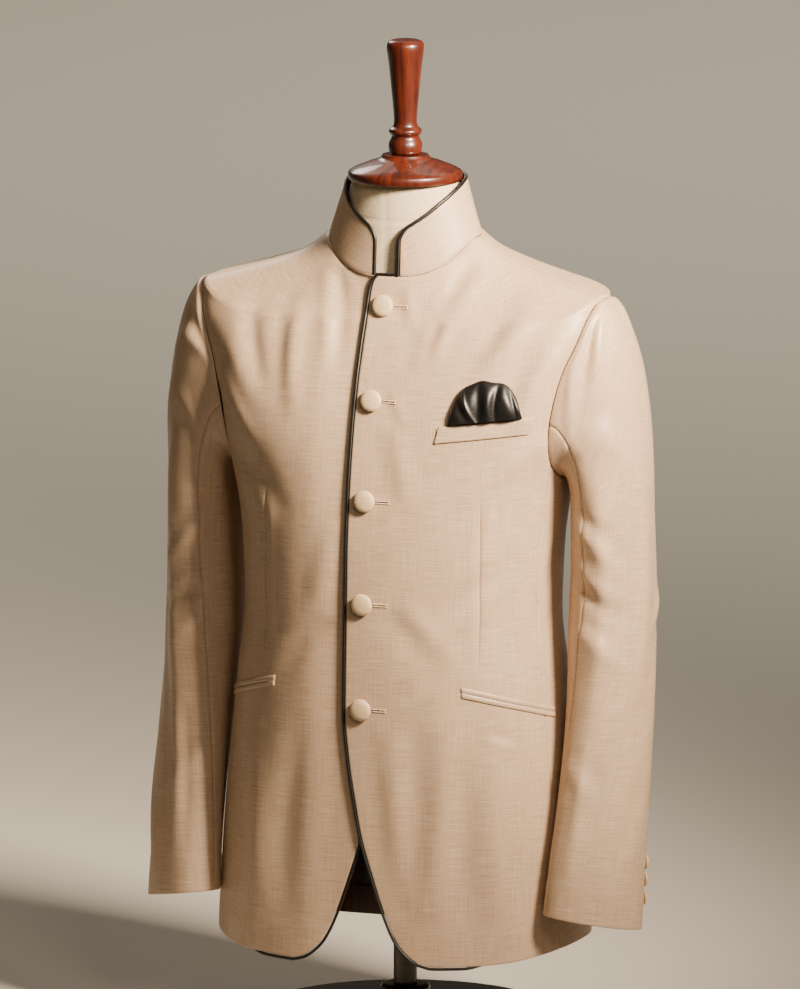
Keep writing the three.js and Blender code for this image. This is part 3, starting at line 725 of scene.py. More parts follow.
def make_mesh(
    name: str,
    points: Array,
    faces: Sequence[Sequence[int]],
    material: bpy.types.Material,
    uvs: Optional[Array] = None,
) -> bpy.types.Object:
    """Makes a smooth mesh object from points in millimetres.

    Args:
        name: The piece's name.
        points: Points in the row frame.
        faces: Corner indices of each face.
        material: Its finish.
        uvs: A place on the cloth for each point, in metres.

    Returns:
        The object, linked to the scene.
    """
    mesh = bpy.data.meshes.new(name)
    mesh.from_pydata((points.reshape(-1, 3) * 0.001).tolist(), [], faces)
    mesh.polygons.foreach_set("use_smooth", np.ones(len(mesh.polygons), bool))
    if uvs is not None:
        layer = mesh.uv_layers.new(name="cloth")
        corners = np.zeros(len(mesh.loops), np.int32)
        mesh.loops.foreach_get("vertex_index", corners)
        layer.data.foreach_set("uv", uvs.reshape(-1, 2)[corners].astype(np.float32).ravel())
    mesh.materials.append(material)
    mesh.update()
    made = bpy.data.objects.new(name, mesh)
    bpy.context.scene.collection.objects.link(made)
    return made


def shell_faces(rows: int, columns: int, flip: bool) -> list[list[int]]:
    """Faces of a closed wall between two grids of points.

    Args:
        rows: Rows of each grid.
        columns: Columns of each grid.
        flip: Whether the columns run the other way round.

    Returns:
        The faces, with the outer grid's points first.
    """
    index = np.arange(rows * columns).reshape(rows, columns)
    corners = index[:-1, :-1], index[:-1, 1:], index[1:, 1:], index[1:, :-1]
    a, b, c, d = (corner.ravel() for corner in corners)
    offset = rows * columns
    rim = np.concatenate([index[0, :-1], index[:-1, -1], index[-1, :0:-1], index[:0:-1, 0]])
    after = np.roll(rim, -1)
    quads = np.concatenate(
        [
            np.stack([a, b, c, d], axis=1),
            np.stack([a, d, c, b], axis=1) + offset,
            np.stack([rim, rim + offset, after + offset, after], axis=1),
        ]
    )
    return (quads[:, ::-1] if flip else quads).tolist()


@dataclass
class Cut:
    """The flat size that a panel is cut to."""

    width: float
    length: float
    area: float

    @classmethod
    def of(cls, grid: Array) -> "Cut":
        """Measures a panel's grid: its longest row, its longest column and its area.

        Args:
            grid: The panel's outer points, in millimetres.

        Returns:
            The cut, in metres.
        """
        across, up = np.diff(grid, axis=1), np.diff(grid, axis=0)
        width = np.linalg.norm(across, axis=2).sum(axis=1).max() * 0.001
        length = np.linalg.norm(up, axis=2).sum(axis=0).max() * 0.001
        cells = np.linalg.norm(np.cross(across[:-1], up[:, :-1]), axis=2)
        area = min(float(cells.sum()) * 1e-6, width * length)
        # No cut wastes more than about two thirds of the cloth round it
        area = max(area, 0.31 * width * length)
        return cls(round(float(width), 3), round(float(length), 3), area)


def finish_piece(piece: bpy.types.Object, slot: str, *nodes: str) -> bpy.types.Object:
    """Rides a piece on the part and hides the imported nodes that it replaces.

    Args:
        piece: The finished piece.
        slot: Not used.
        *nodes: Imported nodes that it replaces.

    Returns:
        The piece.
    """
    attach(piece, "root")
    if nodes:
        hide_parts(*nodes)
    log.info("%s: %d faces", piece.name, len(piece.data.polygons))
    return piece


def lay_cloth(
    node: str,
    grids: Grids,
    uvs: Array,
    material: bpy.types.Material,
    side: Side = Side.LEFT,
    held: Held = Held.HUNG,
    rests_on: Sequence[str] = ("form_torso_linen",),
    slot: str = "raw_silk",
    name: str = "",
) -> bpy.types.Object:
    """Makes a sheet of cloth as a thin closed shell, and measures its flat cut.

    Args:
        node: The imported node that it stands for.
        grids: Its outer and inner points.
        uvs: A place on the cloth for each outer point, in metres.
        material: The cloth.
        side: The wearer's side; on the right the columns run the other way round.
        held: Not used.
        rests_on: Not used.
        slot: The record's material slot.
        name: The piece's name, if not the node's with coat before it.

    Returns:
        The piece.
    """
    faces = shell_faces(*grids[0].shape[:2], side is Side.RIGHT)
    doubled = np.concatenate([uvs, uvs])
    piece = make_mesh(name or f"coat_{node}", np.concatenate(grids), faces, material, doubled)
    finish_piece(piece, slot, node)
    cut = Cut.of(grids[0])
    list(rests_on)
    return piece


def wall(
    surface: Surface, angle: Array, rise: Array, lift: Array, turned: Array, thick: float = WALL
) -> Grids:
    """Outer and inner grids of a sheet whose turned edges close up.

    Args:
        surface: What the sheet lies on.
        angle: Its angles.
        rise: Its rises.
        lift: How far out its face lies.
        turned: How far its edges round away.
        thick: The cloth's thickness.

    Returns:
        The two grids.
    """
    inner = lift - thick + 1.85 * turned
    return surface.on(angle, rise, lift), surface.on(angle, rise, inner)


class Ends(Enum):
    """How a tube of rings ends."""

    FLAT = "one face across each end"
    TIPS = "a fan to a tip at each end"
    LOOP = "the last ring joins the first"


def ring_faces(rows: int, columns: int, ends: Ends) -> list[list[int]]:
    """Faces of a tube of rings. The tips' points follow the rings', the lower one first.

    Args:
        rows: How many rings, from the lowest up.
        columns: How many points in each.
        ends: How the tube ends.

    Returns:
        The faces.
    """
    index = np.arange(rows * columns).reshape(rows, columns)
    upper = np.roll(index, -1, axis=0)
    last = rows if ends is Ends.LOOP else rows - 1
    lower, upper = index[:last], upper[:last]
    quads = np.stack([lower, np.roll(lower, -1, 1), np.roll(upper, -1, 1), upper], axis=-1)
    faces = quads.reshape(-1, 4).tolist()
    if ends is Ends.FLAT:
        faces += [index[0, ::-1].tolist(), index[-1].tolist()]
    if ends is Ends.TIPS:
        start, end, tip = index[0].tolist(), index[-1].tolist(), rows * columns
        faces += [[tip, start[(k + 1) % columns], start[k]] for k in range(columns)]
        faces += [[tip + 1, end[k], end[(k + 1) % columns]] for k in range(columns)]
    return faces


def cloth_uvs(outer: Array, start: Any = 0.0, offset: float = 0.0) -> Array:
    """Places on the cloth: along the weft from a start, and up the warp.

    Args:
        outer: Grid of outer points.
        start: Place of each row's first column, in millimetres.
        offset: What keeps two pieces' slubs apart, in millimetres.

    Returns:
        The places in metres.
    """
    u = row_distance(outer)[0] + np.asarray(start, float).reshape(-1, 1) + offset
    steps = np.linalg.norm(np.diff(outer, axis=0), axis=2).mean(axis=1)
    v = np.concatenate([[0], np.cumsum(steps)])[:, None] + np.zeros_like(u)
    return np.stack([u, v], axis=-1) * 0.001


def seam_dip(distance: Array, depth: float = 0.75, wide: float = 1.5) -> Array:
    """How far cloth is drawn in beside a seam."""
    return depth * np.exp(-((distance / wide) ** 2))


def fold_round(distance: Array, radius: float = 0.75) -> Array:
    """How far a folded edge rounds away from the cloth's face."""
    near = np.clip(distance / 1.7, 0, 1)
    return radius * (1 - np.sqrt(1 - (1 - near) ** 2))


# ---- Node trees ----


def add_node(
    tree: bpy.types.NodeTree, kind: str, feeds: Optional[dict[Any, Any]] = None, **settings: Any
) -> bpy.types.Node:
    """Adds a node with its settings and links.

    Args:
        tree: The tree.
        kind: The node's type.
        feeds: Inputs, each a value, a socket, or a node whose first output feeds it.
        **settings: Properties of the node.

    Returns:
        The node.
    """
    node = tree.nodes.new(kind)
    for name, value in settings.items():
        setattr(node, name, value)
    for key, value in (feeds or {}).items():
        source = value.outputs[0] if isinstance(value, bpy.types.Node) else value
        if isinstance(source, bpy.types.NodeSocket):
            tree.links.new(source, node.inputs[key])
        else:
            node.inputs[key].default_value = source
    return node


def linear(colour: str) -> tuple[float, float, float, float]:
    """An sRGB hex colour as linear values.

    Args:
        colour: The colour, such as "#c0a080".

    Returns:
        Red, green, blue and an alpha of one.
    """
    values = [int(colour[i : i + 2], 16) / 255 for i in (1, 3, 5)]
    turned = [v / 12.92 if v <= 0.04045 else ((v + 0.055) / 1.055) ** 2.4 for v in values]
    return (turned[0], turned[1], turned[2], 1.0)


class ThreadWork:
    """Geometry node trees for what follows an edge: cords, and rows of stitches."""

    def __init__(self) -> None:
        """Builds both trees."""
        self.cord_tree = self._cord_tree()
        self.stitch_tree = self._stitch_tree()

    def _start(self, name: str, sizes: dict[str, float]) -> tuple[Any, Any, Any]:
        """Starts a tree with a mesh input, named sizes, a material and a mesh output.

        Args:
            name: The tree's name.
            sizes: Its named sizes, in metres.

        Returns:
            The tree, its input's sockets, and the node that makes curves of its edges.
        """
        tree = bpy.data.node_groups.new(name, "GeometryNodeTree")
        face = tree.interface
        face.new_socket(name="Geometry", in_out="INPUT", socket_type="NodeSocketGeometry")
        for size, value in sizes.items():
            socket = face.new_socket(name=size, in_out="INPUT", socket_type="NodeSocketFloat")
            socket.default_value = value
        face.new_socket(name="Material", in_out="INPUT", socket_type="NodeSocketMaterial")
        face.new_socket(name="Geometry", in_out="OUTPUT", socket_type="NodeSocketGeometry")
        given = add_node(tree, "NodeGroupInput").outputs
        return tree, given, add_node(tree, "GeometryNodeMeshToCurve", {"Mesh": given["Geometry"]})

    def _close(self, tree: Any, source: Any, given: Any) -> Any:
        """Realizes the instances, smooths them and sets the material.

        Args:
            tree: The tree.
            source: The node that makes the geometry.
            given: The tree's input sockets.

        Returns:
            The tree.
        """
        real = add_node(tree, "GeometryNodeRealizeInstances", {"Geometry": source})
        smooth = add_node(tree, "GeometryNodeSetShadeSmooth", {"Geometry": real})
        finish = {"Geometry": smooth, "Material": given["Material"]}
        done = add_node(tree, "GeometryNodeSetMaterial", finish)
        add_node(tree, "NodeGroupOutput", {0: done})
        return tree

    def _cord_tree(self) -> Any:
        """A round cord along each line of edges.

        Returns:
            The tree.
        """
        tree, given, line = self._start("cord along an edge", {"Radius": 0.0015})
        circle = {"Resolution": 12, "Radius": given["Radius"]}
        ring = add_node(tree, "GeometryNodeCurvePrimitiveCircle", circle)
        sweep = {"Curve": line, "Profile Curve": ring, "Fill Caps": True}
        return self._close(tree, add_node(tree, "GeometryNodeCurveToMesh", sweep), given)

    def _stitch_tree(self) -> Any:
        """A row of plump thread stitches along each line of edges.

        Returns:
            The tree.
        """
        sizes = {"Spacing": 0.0009, "Long": 0.0006, "Thick": 0.0003}
        tree, given, line = self._start("stitches along an edge", sizes)
        spacing = {"Curve": line, "Length": given["Spacing"]}
        spaced = add_node(tree, "GeometryNodeResampleCurve", spacing, mode="LENGTH")
        thread = add_node(tree, "GeometryNodeMeshIcoSphere", {"Radius": 1.0, "Subdivisions": 2})
        tangent = {"Vector": add_node(tree, "GeometryNodeInputTangent")}
        turn = add_node(tree, "FunctionNodeAlignRotationToVector", tangent, axis="X")
        plump = {"X": given["Long"], "Y": given["Thick"], "Z": given["Thick"]}
        size = add_node(tree, "ShaderNodeCombineXYZ", plump)
        row = {"Points": spaced, "Instance": thread, "Rotation": turn, "Scale": size}
        return self._close(tree, add_node(tree, "GeometryNodeInstanceOnPoints", row), given)

    def run(
        self,
        name: str,
        lines: Sequence[Array],
        tree: Any,
        sizes: dict[str, float],
        material: bpy.types.Material,
    ) -> bpy.types.Object:
        """Runs a tree along lines and keeps the result as a plain mesh.

        Args:
            name: The piece's name.
            lines: Lines of points in millimetres.
            tree: The tree to run.
            sizes: Its named sizes, in metres.
            material: The thread or cloth.

        Returns:
            The object.
        """
        edges: list[tuple[int, int]] = []
        first = 0
        for line in lines:
            edges += [(first + k, first + k + 1) for k in range(len(line) - 1)]
            first += len(line)
        mesh = bpy.data.meshes.new(name)
        mesh.from_pydata((np.concatenate(lines) * 0.001).tolist(), edges, [])
        source = bpy.data.objects.new(name + "_line", mesh)
        bpy.context.scene.collection.objects.link(source)
        modifier = source.modifiers.new("work", "NODES")
        modifier.node_group = tree
        values = {**{size: float(value) for size, value in sizes.items()}, "Material": material}
        for item in tree.interface.items_tree:
            if item.in_out == "INPUT" and item.name in values:
                modifier[item.identifier] = values[item.name]
        graph = bpy.context.evaluated_depsgraph_get()
        result = bpy.data.meshes.new_from_object(source.evaluated_get(graph))
        result.name = name
        source.modifiers.remove(modifier)
        bpy.data.objects.remove(source)
        made = bpy.data.objects.new(name, result)
        if not result.materials:
            result.materials.append(material)
        bpy.context.scene.collection.objects.link(made)
        return made


# ---- Finishes ----


class Paint:
    """A material while its nodes are added: a shader, and the patterns that feed it."""

    def __init__(self, name: str) -> None:
        """Makes a material with only a shader on its output.

        Args:
            name: The real material's name.
        """
        self.made = bpy.data.materials.new(name)
        self.made.use_nodes = True
        self.tree = self.made.node_tree
        self.tree.nodes.clear()
        self.shader = add_node(self.tree, "ShaderNodeBsdfPrincipled")
        add_node(self.tree, "ShaderNodeOutputMaterial", {"Surface": self.shader})

    def set(self, **values: Any) -> None:
        """Sets the shader's plain inputs, with a low line for each blank in a name."""
        for name, value in values.items():
            self.shader.inputs[name.replace("_", " ")].default_value = value

    def grains(self, place: Any, size: tuple[float, float, float], detail: float) -> Any:
        """Noise whose grains are drawn out along an axis.

        Args:
            place: The coordinates, in metres.
            size: A grain's size along each axis, in metres.
            detail: How rough the noise is.

        Returns:
            The value socket.
        """
        scale = tuple(1 / length for length in size)
        mapped = add_node(self.tree, "ShaderNodeMapping", {"Vector": place, "Scale": scale})
        noise = {"Vector": mapped, "Scale": 1.0, "Detail": detail, "Roughness": 0.55}
        return add_node(self.tree, "ShaderNodeTexNoise", noise).outputs["Fac"]

    def blend(self, *parts: tuple[Any, float]) -> Any:
        """The weighted sum of some patterns.

        Args:
            *parts: Each pattern with its weight.

        Returns:
            The value socket.
        """
        total: Any = 0.0
        for pattern, weight in parts:
            sum_of = {0: pattern, 1: weight, 2: total}
            total = add_node(self.tree, "ShaderNodeMath", sum_of, operation="MULTIPLY_ADD")
        return total.outputs[0]

    def show(
        self,
        tone: Any = None,
        stops: Sequence[tuple[float, str]] = (),
        rough: Sequence[Any] = (),
        relief: Sequence[Any] = (),
    ) -> None:
        """Feeds the shader's colour, roughness and relief from patterns.

        Args:
            tone: The pattern that colours it.
            stops: Values of that pattern, each with its colour.
            rough: A pattern, two values of it, and the roughness at each.
            relief: A pattern, how strongly it shows, and its height in metres.
        """
        fed = {}
        if stops:
            band = fed["Base Color"] = add_node(self.tree, "ShaderNodeValToRGB", {"Fac": tone})
            elements = band.color_ramp.elements
            while len(elements) < len(stops):
                elements.new(0.5)
            for element, (position, colour) in zip(elements, stops):
                element.position, element.color = position, linear(colour)
        if rough:
            carried = dict(zip(("Value", 1, 2, 3, 4), rough))
            fed["Roughness"] = add_node(self.tree, "ShaderNodeMapRange", carried, clamp=True)
        if relief:
            raised = dict(zip(("Height", "Strength", "Distance"), relief))
            fed["Normal"] = add_node(self.tree, "ShaderNodeBump", raised)
        for socket, node in fed.items():
            self.tree.links.new(node.outputs[0], self.shader.inputs[socket])

    def object_place(self) -> Any:
        """The object's own coordinates, in metres."""
        return add_node(self.tree, "ShaderNodeTexCoord").outputs["Object"]


@dataclass(frozen=True)
class RawSilk:
    """Raw silk: plain weave with slubs, thicker stretches of yarn both ways."""

    name: str
    shade: str
    middle: str
    lit: str
    weft_slub: float = 0.03
    warp_slub: float = 0.045
    yarn: float = 0.0009
    rough: float = 0.4

    def make(self) -> bpy.types.Material:
        """Slubs are noise drawn out along each yarn; they set the tone and the relief.

        Returns:
            The material.
        """
        paint = Paint(self.name)
        place = add_node(paint.tree, "ShaderNodeUVMap", uv_map="cloth").outputs[0]
        # A weft slub is 30 mm long and 0.9 mm thick, a warp slub 45 mm long
        weft = paint.grains(place, (self.weft_slub, self.yarn, 1), 3)
        warp = paint.grains(place, (self.yarn, self.warp_slub, 1), 2)
        # The weave itself is drawn coarser than its real 0.3 mm yarns so that it still shows
        weave = paint.grains(place, (0.0024, 0.0008, 1), 2)
        # Dyed cloth is never quite even: its tone drifts over about 120 mm
        cloud = paint.grains(place, (1 / 9, 1 / 7, 1), 2)
        slubs = paint.blend((weft, 0.62), (warp, 0.38))
        fine = paint.blend((slubs, 0.76), (weave, 0.18))
        tone = paint.blend((fine, 1.0), (cloud, 0.06))
        stops = ((0.33, self.shade), (0.5, self.middle), (0.67, self.lit))
        rough = (slubs, 0.35, 0.65, self.rough + 0.07, self.rough - 0.07)
        paint.show(tone, stops, rough, (fine, 0.5, 0.0004))
        paint.set(Sheen_Weight=0.16, Sheen_Roughness=0.38, Sheen_Tint=linear("#f0d9b8"))
        return paint.made


@dataclass(frozen=True)
class BlackSatin:
    """Black satin: smooth floats of yarn with a tight sheen."""

    name: str
    colour: str
    rough: float

    def make(self) -> bpy.types.Material:
        """Fine threads, drawn coarser than real at 0.7 mm, break the shine a little.

        Returns:
            The material.
        """
        paint = Paint(self.name)
        thread = paint.grains(paint.object_place(), (0.004, 0.004, 0.0007), 2)
        rough = (thread, 0.3, 0.7, self.rough - 0.05, self.rough + 0.08)
        stops = ((0.3, self.colour), (0.7, "#12100e"))
        paint.show(thread, stops, rough, (thread, 0.25, 0.0002))
        paint.set(Sheen_Weight=0.12, Sheen_Roughness=0.3)
        return paint.made


@dataclass(frozen=True)
class PlainCloth:
    """Plain weave cloth or thread of one colour, such as linen or cotton."""

    name: str
    shade: str
    lit: str
    yarn: float = 0.0009
    rough: float = 0.85

    def make(self) -> bpy.types.Material:
        """Two sets of yarns, at a yarn's own thickness, set the tone and the relief.

        Returns:
            The material.
        """
        paint = Paint(self.name)
        place = paint.object_place()
        across = paint.grains(place, (0.006, 0.006, self.yarn), 2)
        along = paint.grains(place, (self.yarn, self.yarn, 0.008), 2)
        weave = paint.blend((across, 0.5), (along, 0.5))
        stops = ((0.38, self.shade), (0.6, self.lit))
        paint.show(weave, stops, relief=(weave, 0.35, 0.0003))
        paint.set(Roughness=self.rough, Sheen_Weight=0.15)
        return paint.made


@dataclass(frozen=True)
class VarnishedWood:
    """Turned or sawn wood under varnish."""

    name: str
    dark: str
    light: str
    rough: float
    coat: float

    def make(self) -> bpy.types.Material:
        """Grain is noise drawn out along the upright, with finer pores over it.

        Returns:
            The material.
        """
        paint = Paint(self.name)
        place = paint.object_place()
        # Growth rings about 6 mm apart, and pores 0.8 mm wide and 25 mm long
        rings = paint.grains(place, (0.006, 0.02, 0.09), 3)
        pores = paint.grains(place, (0.0008, 0.0008, 0.025), 2)
        grain = paint.blend((rings, 0.75), (pores, 0.25))
        rough = (grain, 0.35, 0.65, self.rough + 0.06, self.rough - 0.04)
        paint.show(grain, ((0.36, self.dark), (0.62, self.light)), rough)
        paint.set(Coat_Weight=self.coat, Coat_Roughness=0.06)
        return paint.made


@dataclass(frozen=True)
class DarkSteel:
    """Dark polished steel with faint marks of the lathe."""

    name: str
    colour: str
    rough: float = 0.24

    def make(self) -> bpy.types.Material:
        """Lathe marks are noise drawn out round the axis, 0.6 mm apart.

        Returns:
            The material.
        """
        paint = Paint(self.name)
        marks = paint.grains(paint.object_place(), (1 / 8, 1 / 8, 0.0006), 2)
        paint.set(Base_Color=linear(self.colour), Metallic=1.0)
        paint.show(rough=(marks, 0.3, 0.7, self.rough - 0.05, self.rough + 0.1))
        return paint.made


@dataclass(frozen=True)
class StudioPaint:
    """The pale matt paint of the studio's floor."""

    name: str
    colour: str

    def make(self) -> bpy.types.Material:
        """One flat matt colour.

        Returns:
            The material.
        """
        paint = Paint(self.name)
        paint.set(Base_Color=linear(self.colour), Roughness=0.9)
        return paint.made


class Finishes:
    """Every material of the scene, made once."""

    def __init__(self) -> None:
        """Makes the materials."""
        self.silk = RawSilk("raw_silk", "#9b8067", "#b99e82", "#d2bca0").make()
        self.button = RawSilk("button_silk", "#b3966f", "#ccb18b", "#dfc9a7", rough=0.5).make()
        self.satin = BlackSatin("black_satin", "#070707", 0.42).make()
        self.linen = PlainCloth("cream_linen", "#bda98a", "#d8c7a8").make()
        thread = PlainCloth("buttonhole_silk_thread", "#b79b78", "#e0caaa", 0.0004, 0.45)
        self.thread = thread.make()
        # Painted shade: a near-black woven colour laid into the buttonhole slits and the hip pocket
        # mouths, standing in for the shadow there
        self.lining = PlainCloth("dark_cotton_lining", "#1a120c", "#2b1f16").make()
        self.mahogany = VarnishedWood("mahogany_varnished", "#2a0c06", "#57200f", 0.34, 0.6).make()
        dark_wood = VarnishedWood("dark_wood_varnished", "#1d0f08", "#432817", 0.42, 0.35)
        self.block_wood = dark_wood.make()
        self.steel = DarkSteel("dark_polished_steel", "#4a4844").make()
        self.floor = StudioPaint("studio_floor_paint", "#cdc7bd").make()


# ---- The coat ----

LEVELS_FRONT = (90, 92, 95, 100, 108, 119, 133, 152, 178, 210, 250, 300, 350, 400, 450, 500)
LEVELS_UPPER = (545, 580, 600, 617, 638, 665, 695, 722, 745, 762, 774, 781, 785, 793, 805, 820)
LEVELS_NECK = (831, 838)
LEVELS_SIDE = (90, 115, 150, 195, 245, 300, 350, 400, 450, 500, 545)
LEVELS_BACK = (580, 600, 617, 640, 665, 690, 714, 736, 756, 772, 781, 785, 792, 800, 810, 822, 838)
FRONT_LEVELS = LEVELS_FRONT + LEVELS_UPPER + LEVELS_NECK
DART_LOW, DART_TOP, DART_X = 398.0, 590.0, 118.0
DART_COLUMNS = (
    -12, -10, -8, -6, -4.5, -3.4, -2.5, -1.8, -1.2, -0.7, -0.3,
    0, 0.3, 0.7, 1.2, 1.8, 2.6, 3.6, 5, 7, 9, 12,
)
# Angles of the side seams, and the level where a side panel turns into the armhole's foot
SIDE_FRONT, SIDE_BACK, SIDE_JOIN = 72.0, 112.0, 545.0
# Where each piece lies on the cloth, in millimetres, so that no two share their slubs
CLOTH_PLACE = {
    "front_right": 400, "side": 800, "back": 1300, "sleeve_top": 2000, "sleeve_under": 2300,
    "collar": 3000, "breast_welt": 3700, "hip_welt": 4100,
}


def with_ends(levels: Array, steps: Sequence[float] = EDGE_STEPS) -> Array:
    """Adds close levels inside both ends.

    Args:
        levels: Rising levels.
        steps: Distances of the close ones from an end.

    Returns:
        The levels with the close ones.
    """
    extra = [levels[0] + s for s in steps] + [levels[-1] - s for s in steps]
    room = steps[-1] + 0.8
    inner = levels[(levels > levels[0] + room) & (levels < levels[-1] - room)]
    return np.unique(np.concatenate([extra, inner]))


def gap_angle(level: Any) -> Array:
    """Half a seam's gap as an angle at the body's side."""
    return np.degrees(SEAM_GAP / 2 / BODY_RINGS.read("half", level))


def ridge_angle(level: Any, column: str) -> Array:
    """Half a seam's gap as an angle at the shoulder's ridge or the centre back."""
    share = SEAM_GAP / 2 / BODY_RINGS.read(column, level)
    return np.degrees(np.arcsin(share ** (BODY_RINGS.read("square", level) / 2)))


def hem_step(above: Array) -> Array:
    """The turned-up hem is thicker cloth, and shows as a faint step 38 mm up."""
    return 0.35 * (1 - smoothstep(above, 34, 39))


@dataclass
class Panel:
    """A piece of the coat that is cut once for each side."""

    side: Side
    finishes: Finishes

    def node(self, word: str) -> str:
        """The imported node's name for a word and the piece's side."""
        return f"{word}_{self.side.word}"


@dataclass
class FrontPanel(Panel):
    """A front, cut with its shoulder, armhole, dart and cut-away hem."""

    drop: float = 3.3
    full_x: float = 26.0
    end_x: float = 66.0
    near_columns: int = 36
    far_columns: int = 34
    row_step: float = 4.2
    # Columns follow x as far as even_x below blend_low, and only angles above blend_top
    even_x: float = 105.0
    blend_low: float = 655.0
    blend_top: float = 765.0
    far_wide: float = 60.0
    whole_wide: float = 130.0
    groove: float = 1.1
    groove_wide: float = 1.15
    swell: float = 0.7
    swell_from: float = 7.0
    swell_wide: float = 5.0
    dart_lean: float = 0.006

    def outer_angle(self, level: Array) -> Array:
        """Angle of the side seam, the armhole or the shoulder seam.

        Args:
            level: Levels.

        Returns:
            An angle for each level.
        """
        hole = ARMHOLE.angle_at(level, -1)
        seam = np.minimum(hole, SIDE_FRONT - gap_angle(level))
        low = np.where(level > ARMHOLE.level, hole, seam)
        return np.where(level >= TIP_LEVEL, 90 - ridge_angle(level, "fore"), low)

    def sink(self, x: Array) -> Array:
        """How far the under front lies below the lapping one.

        Args:
            x: Places across, towards the panel's own side.

        Returns:
            The depths.
        """
        if self.side is Side.LEFT:
            return np.zeros_like(x)
        return self.drop * (1 - smoothstep(x, self.full_x, self.end_x))

    def angles(self, levels: Array) -> Array:
        """Angles of the grid, close together at the edges and at the dart.

        Args:
            levels: The grid's levels.

        Returns:
            A row of angles for each level.
        """
        edge = FRONT_EDGE.read("x", levels)[:, None]
        start = edge + EDGE_STEPS[-1]
        even = np.linspace(0, 1, self.near_columns)[None, 1:]
        dart = np.broadcast_to(DART_X + np.array(DART_COLUMNS), (len(levels), len(DART_COLUMNS)))
        xs = np.concatenate([edge + EDGE_STEPS, start + (self.even_x - start) * even, dart], axis=1)
        level = np.broadcast_to(levels[:, None], xs.shape)
        by_x = BODY.angle_of_x(np.minimum(xs, 0.98 * BODY_RINGS.read("half", level)), level)
        outer, last = self.outer_angle(levels)[:, None], by_x[:, -1:]
        close = 1 - np.array(EDGE_STEPS[::-1]) / self.far_wide
        shares = np.concatenate([np.linspace(0, close[0], self.far_columns)[1:-1], close])
        stepped = np.concatenate([by_x, last + (outer - last) * shares], axis=1)
        first = stepped[:, :1]
        spread = edged(stepped.shape[1], EDGE_STEPS, self.whole_wide)
        evenly = first + (outer - first) * spread
        share = smoothstep(levels, self.blend_low, self.blend_top)[:, None]
        return stepped + (evenly - stepped) * share

    def dart(self, x: Array, z: Array) -> Array:
        """The pressed groove of the waist dart, with its seam's fullness beside it.

        Args:
            x: Places across.
            z: Heights.

        Returns:
            How far the dart lifts the cloth.
        """
        low, top = smoothstep(z, DART_LOW, DART_LOW + 40), smoothstep(z, DART_TOP - 50, DART_TOP)
        across = np.abs(x) - DART_X - self.dart_lean * (z - 500)
        groove = self.groove * np.exp(-((across / self.groove_wide) ** 2))
        beside = (np.abs(across) - self.swell_from) / self.swell_wide
        swell = self.swell * np.exp(-(beside**2))
        return low * (1 - top) * (swell - groove)

    def build(self) -> bpy.types.Object:
        """Builds the panel as a closed shell with turned edges.

        Returns:
            The piece.
        """
        levels = with_ends(refined(FRONT_LEVELS, self.row_step))
        angle = self.angles(levels)
        level = np.broadcast_to(levels[:, None], angle.shape)
        signed = self.side.value * angle
        base = BODY.point(signed, level)
        from_edge, from_outer = row_distance(base)
        hem, neck = level - levels[0], levels[-1] - level
        turned = np.maximum(fold_round(from_edge), fold_round(hem))
        lift = hem_step(hem) - turned - seam_dip(from_outer) - seam_dip(neck)
        lift = lift + self.dart(base[..., 0], base[..., 2])
        grids = wall(BODY, signed, level, lift - self.sink(self.side.value * base[..., 0]), turned)
        offset = CLOTH_PLACE.get(self.node("front"), 0)
        uvs = cloth_uvs(grids[0], FRONT_EDGE.read("x", levels), offset)
        return lay_cloth(self.node("front"), grids, uvs, self.finishes.silk, self.side)


@dataclass
class SidePanel(Panel):
    """The panel under an arm, up to the armhole's foot."""

    columns: int = 40
    row_step: float = 5.5

    def build(self) -> bpy.types.Object:
        """Builds the panel as a closed shell.

        Returns:
            The piece.
        """
        low = with_ends(refined(LEVELS_SIDE, self.row_step))
        low = low[low <= SIDE_JOIN - 6]
        edge = float(gap_angle(HEM_LEVEL))
        spread = edged(self.columns, EDGE_STEPS, 125)
        angles = SIDE_FRONT + edge + (SIDE_BACK - SIDE_FRONT - 2 * edge) * spread
        top = ARMHOLE.bottom(angles)
        share = np.concatenate([np.linspace(0, 0.92, 11), [0.95, 0.975, 0.99, 1.0]])[:, None]
        straight = np.broadcast_to(low[:, None], (len(low), len(angles)))
        level = np.concatenate([straight, SIDE_JOIN + (top - SIDE_JOIN) * share])
        signed = self.side.value * np.broadcast_to(angles, level.shape)
        seams = sum(seam_dip(d) for d in row_distance(BODY.point(signed, level)))
        hem = level - HEM_LEVEL
        turned = fold_round(hem)
        lift = hem_step(hem) - turned - seams - seam_dip(top - level)
        grids = wall(BODY, signed, level, lift, turned)
        uvs = cloth_uvs(grids[0], offset=CLOTH_PLACE["side"])
        return lay_cloth(self.node("side"), grids, uvs, self.finishes.silk, self.side)


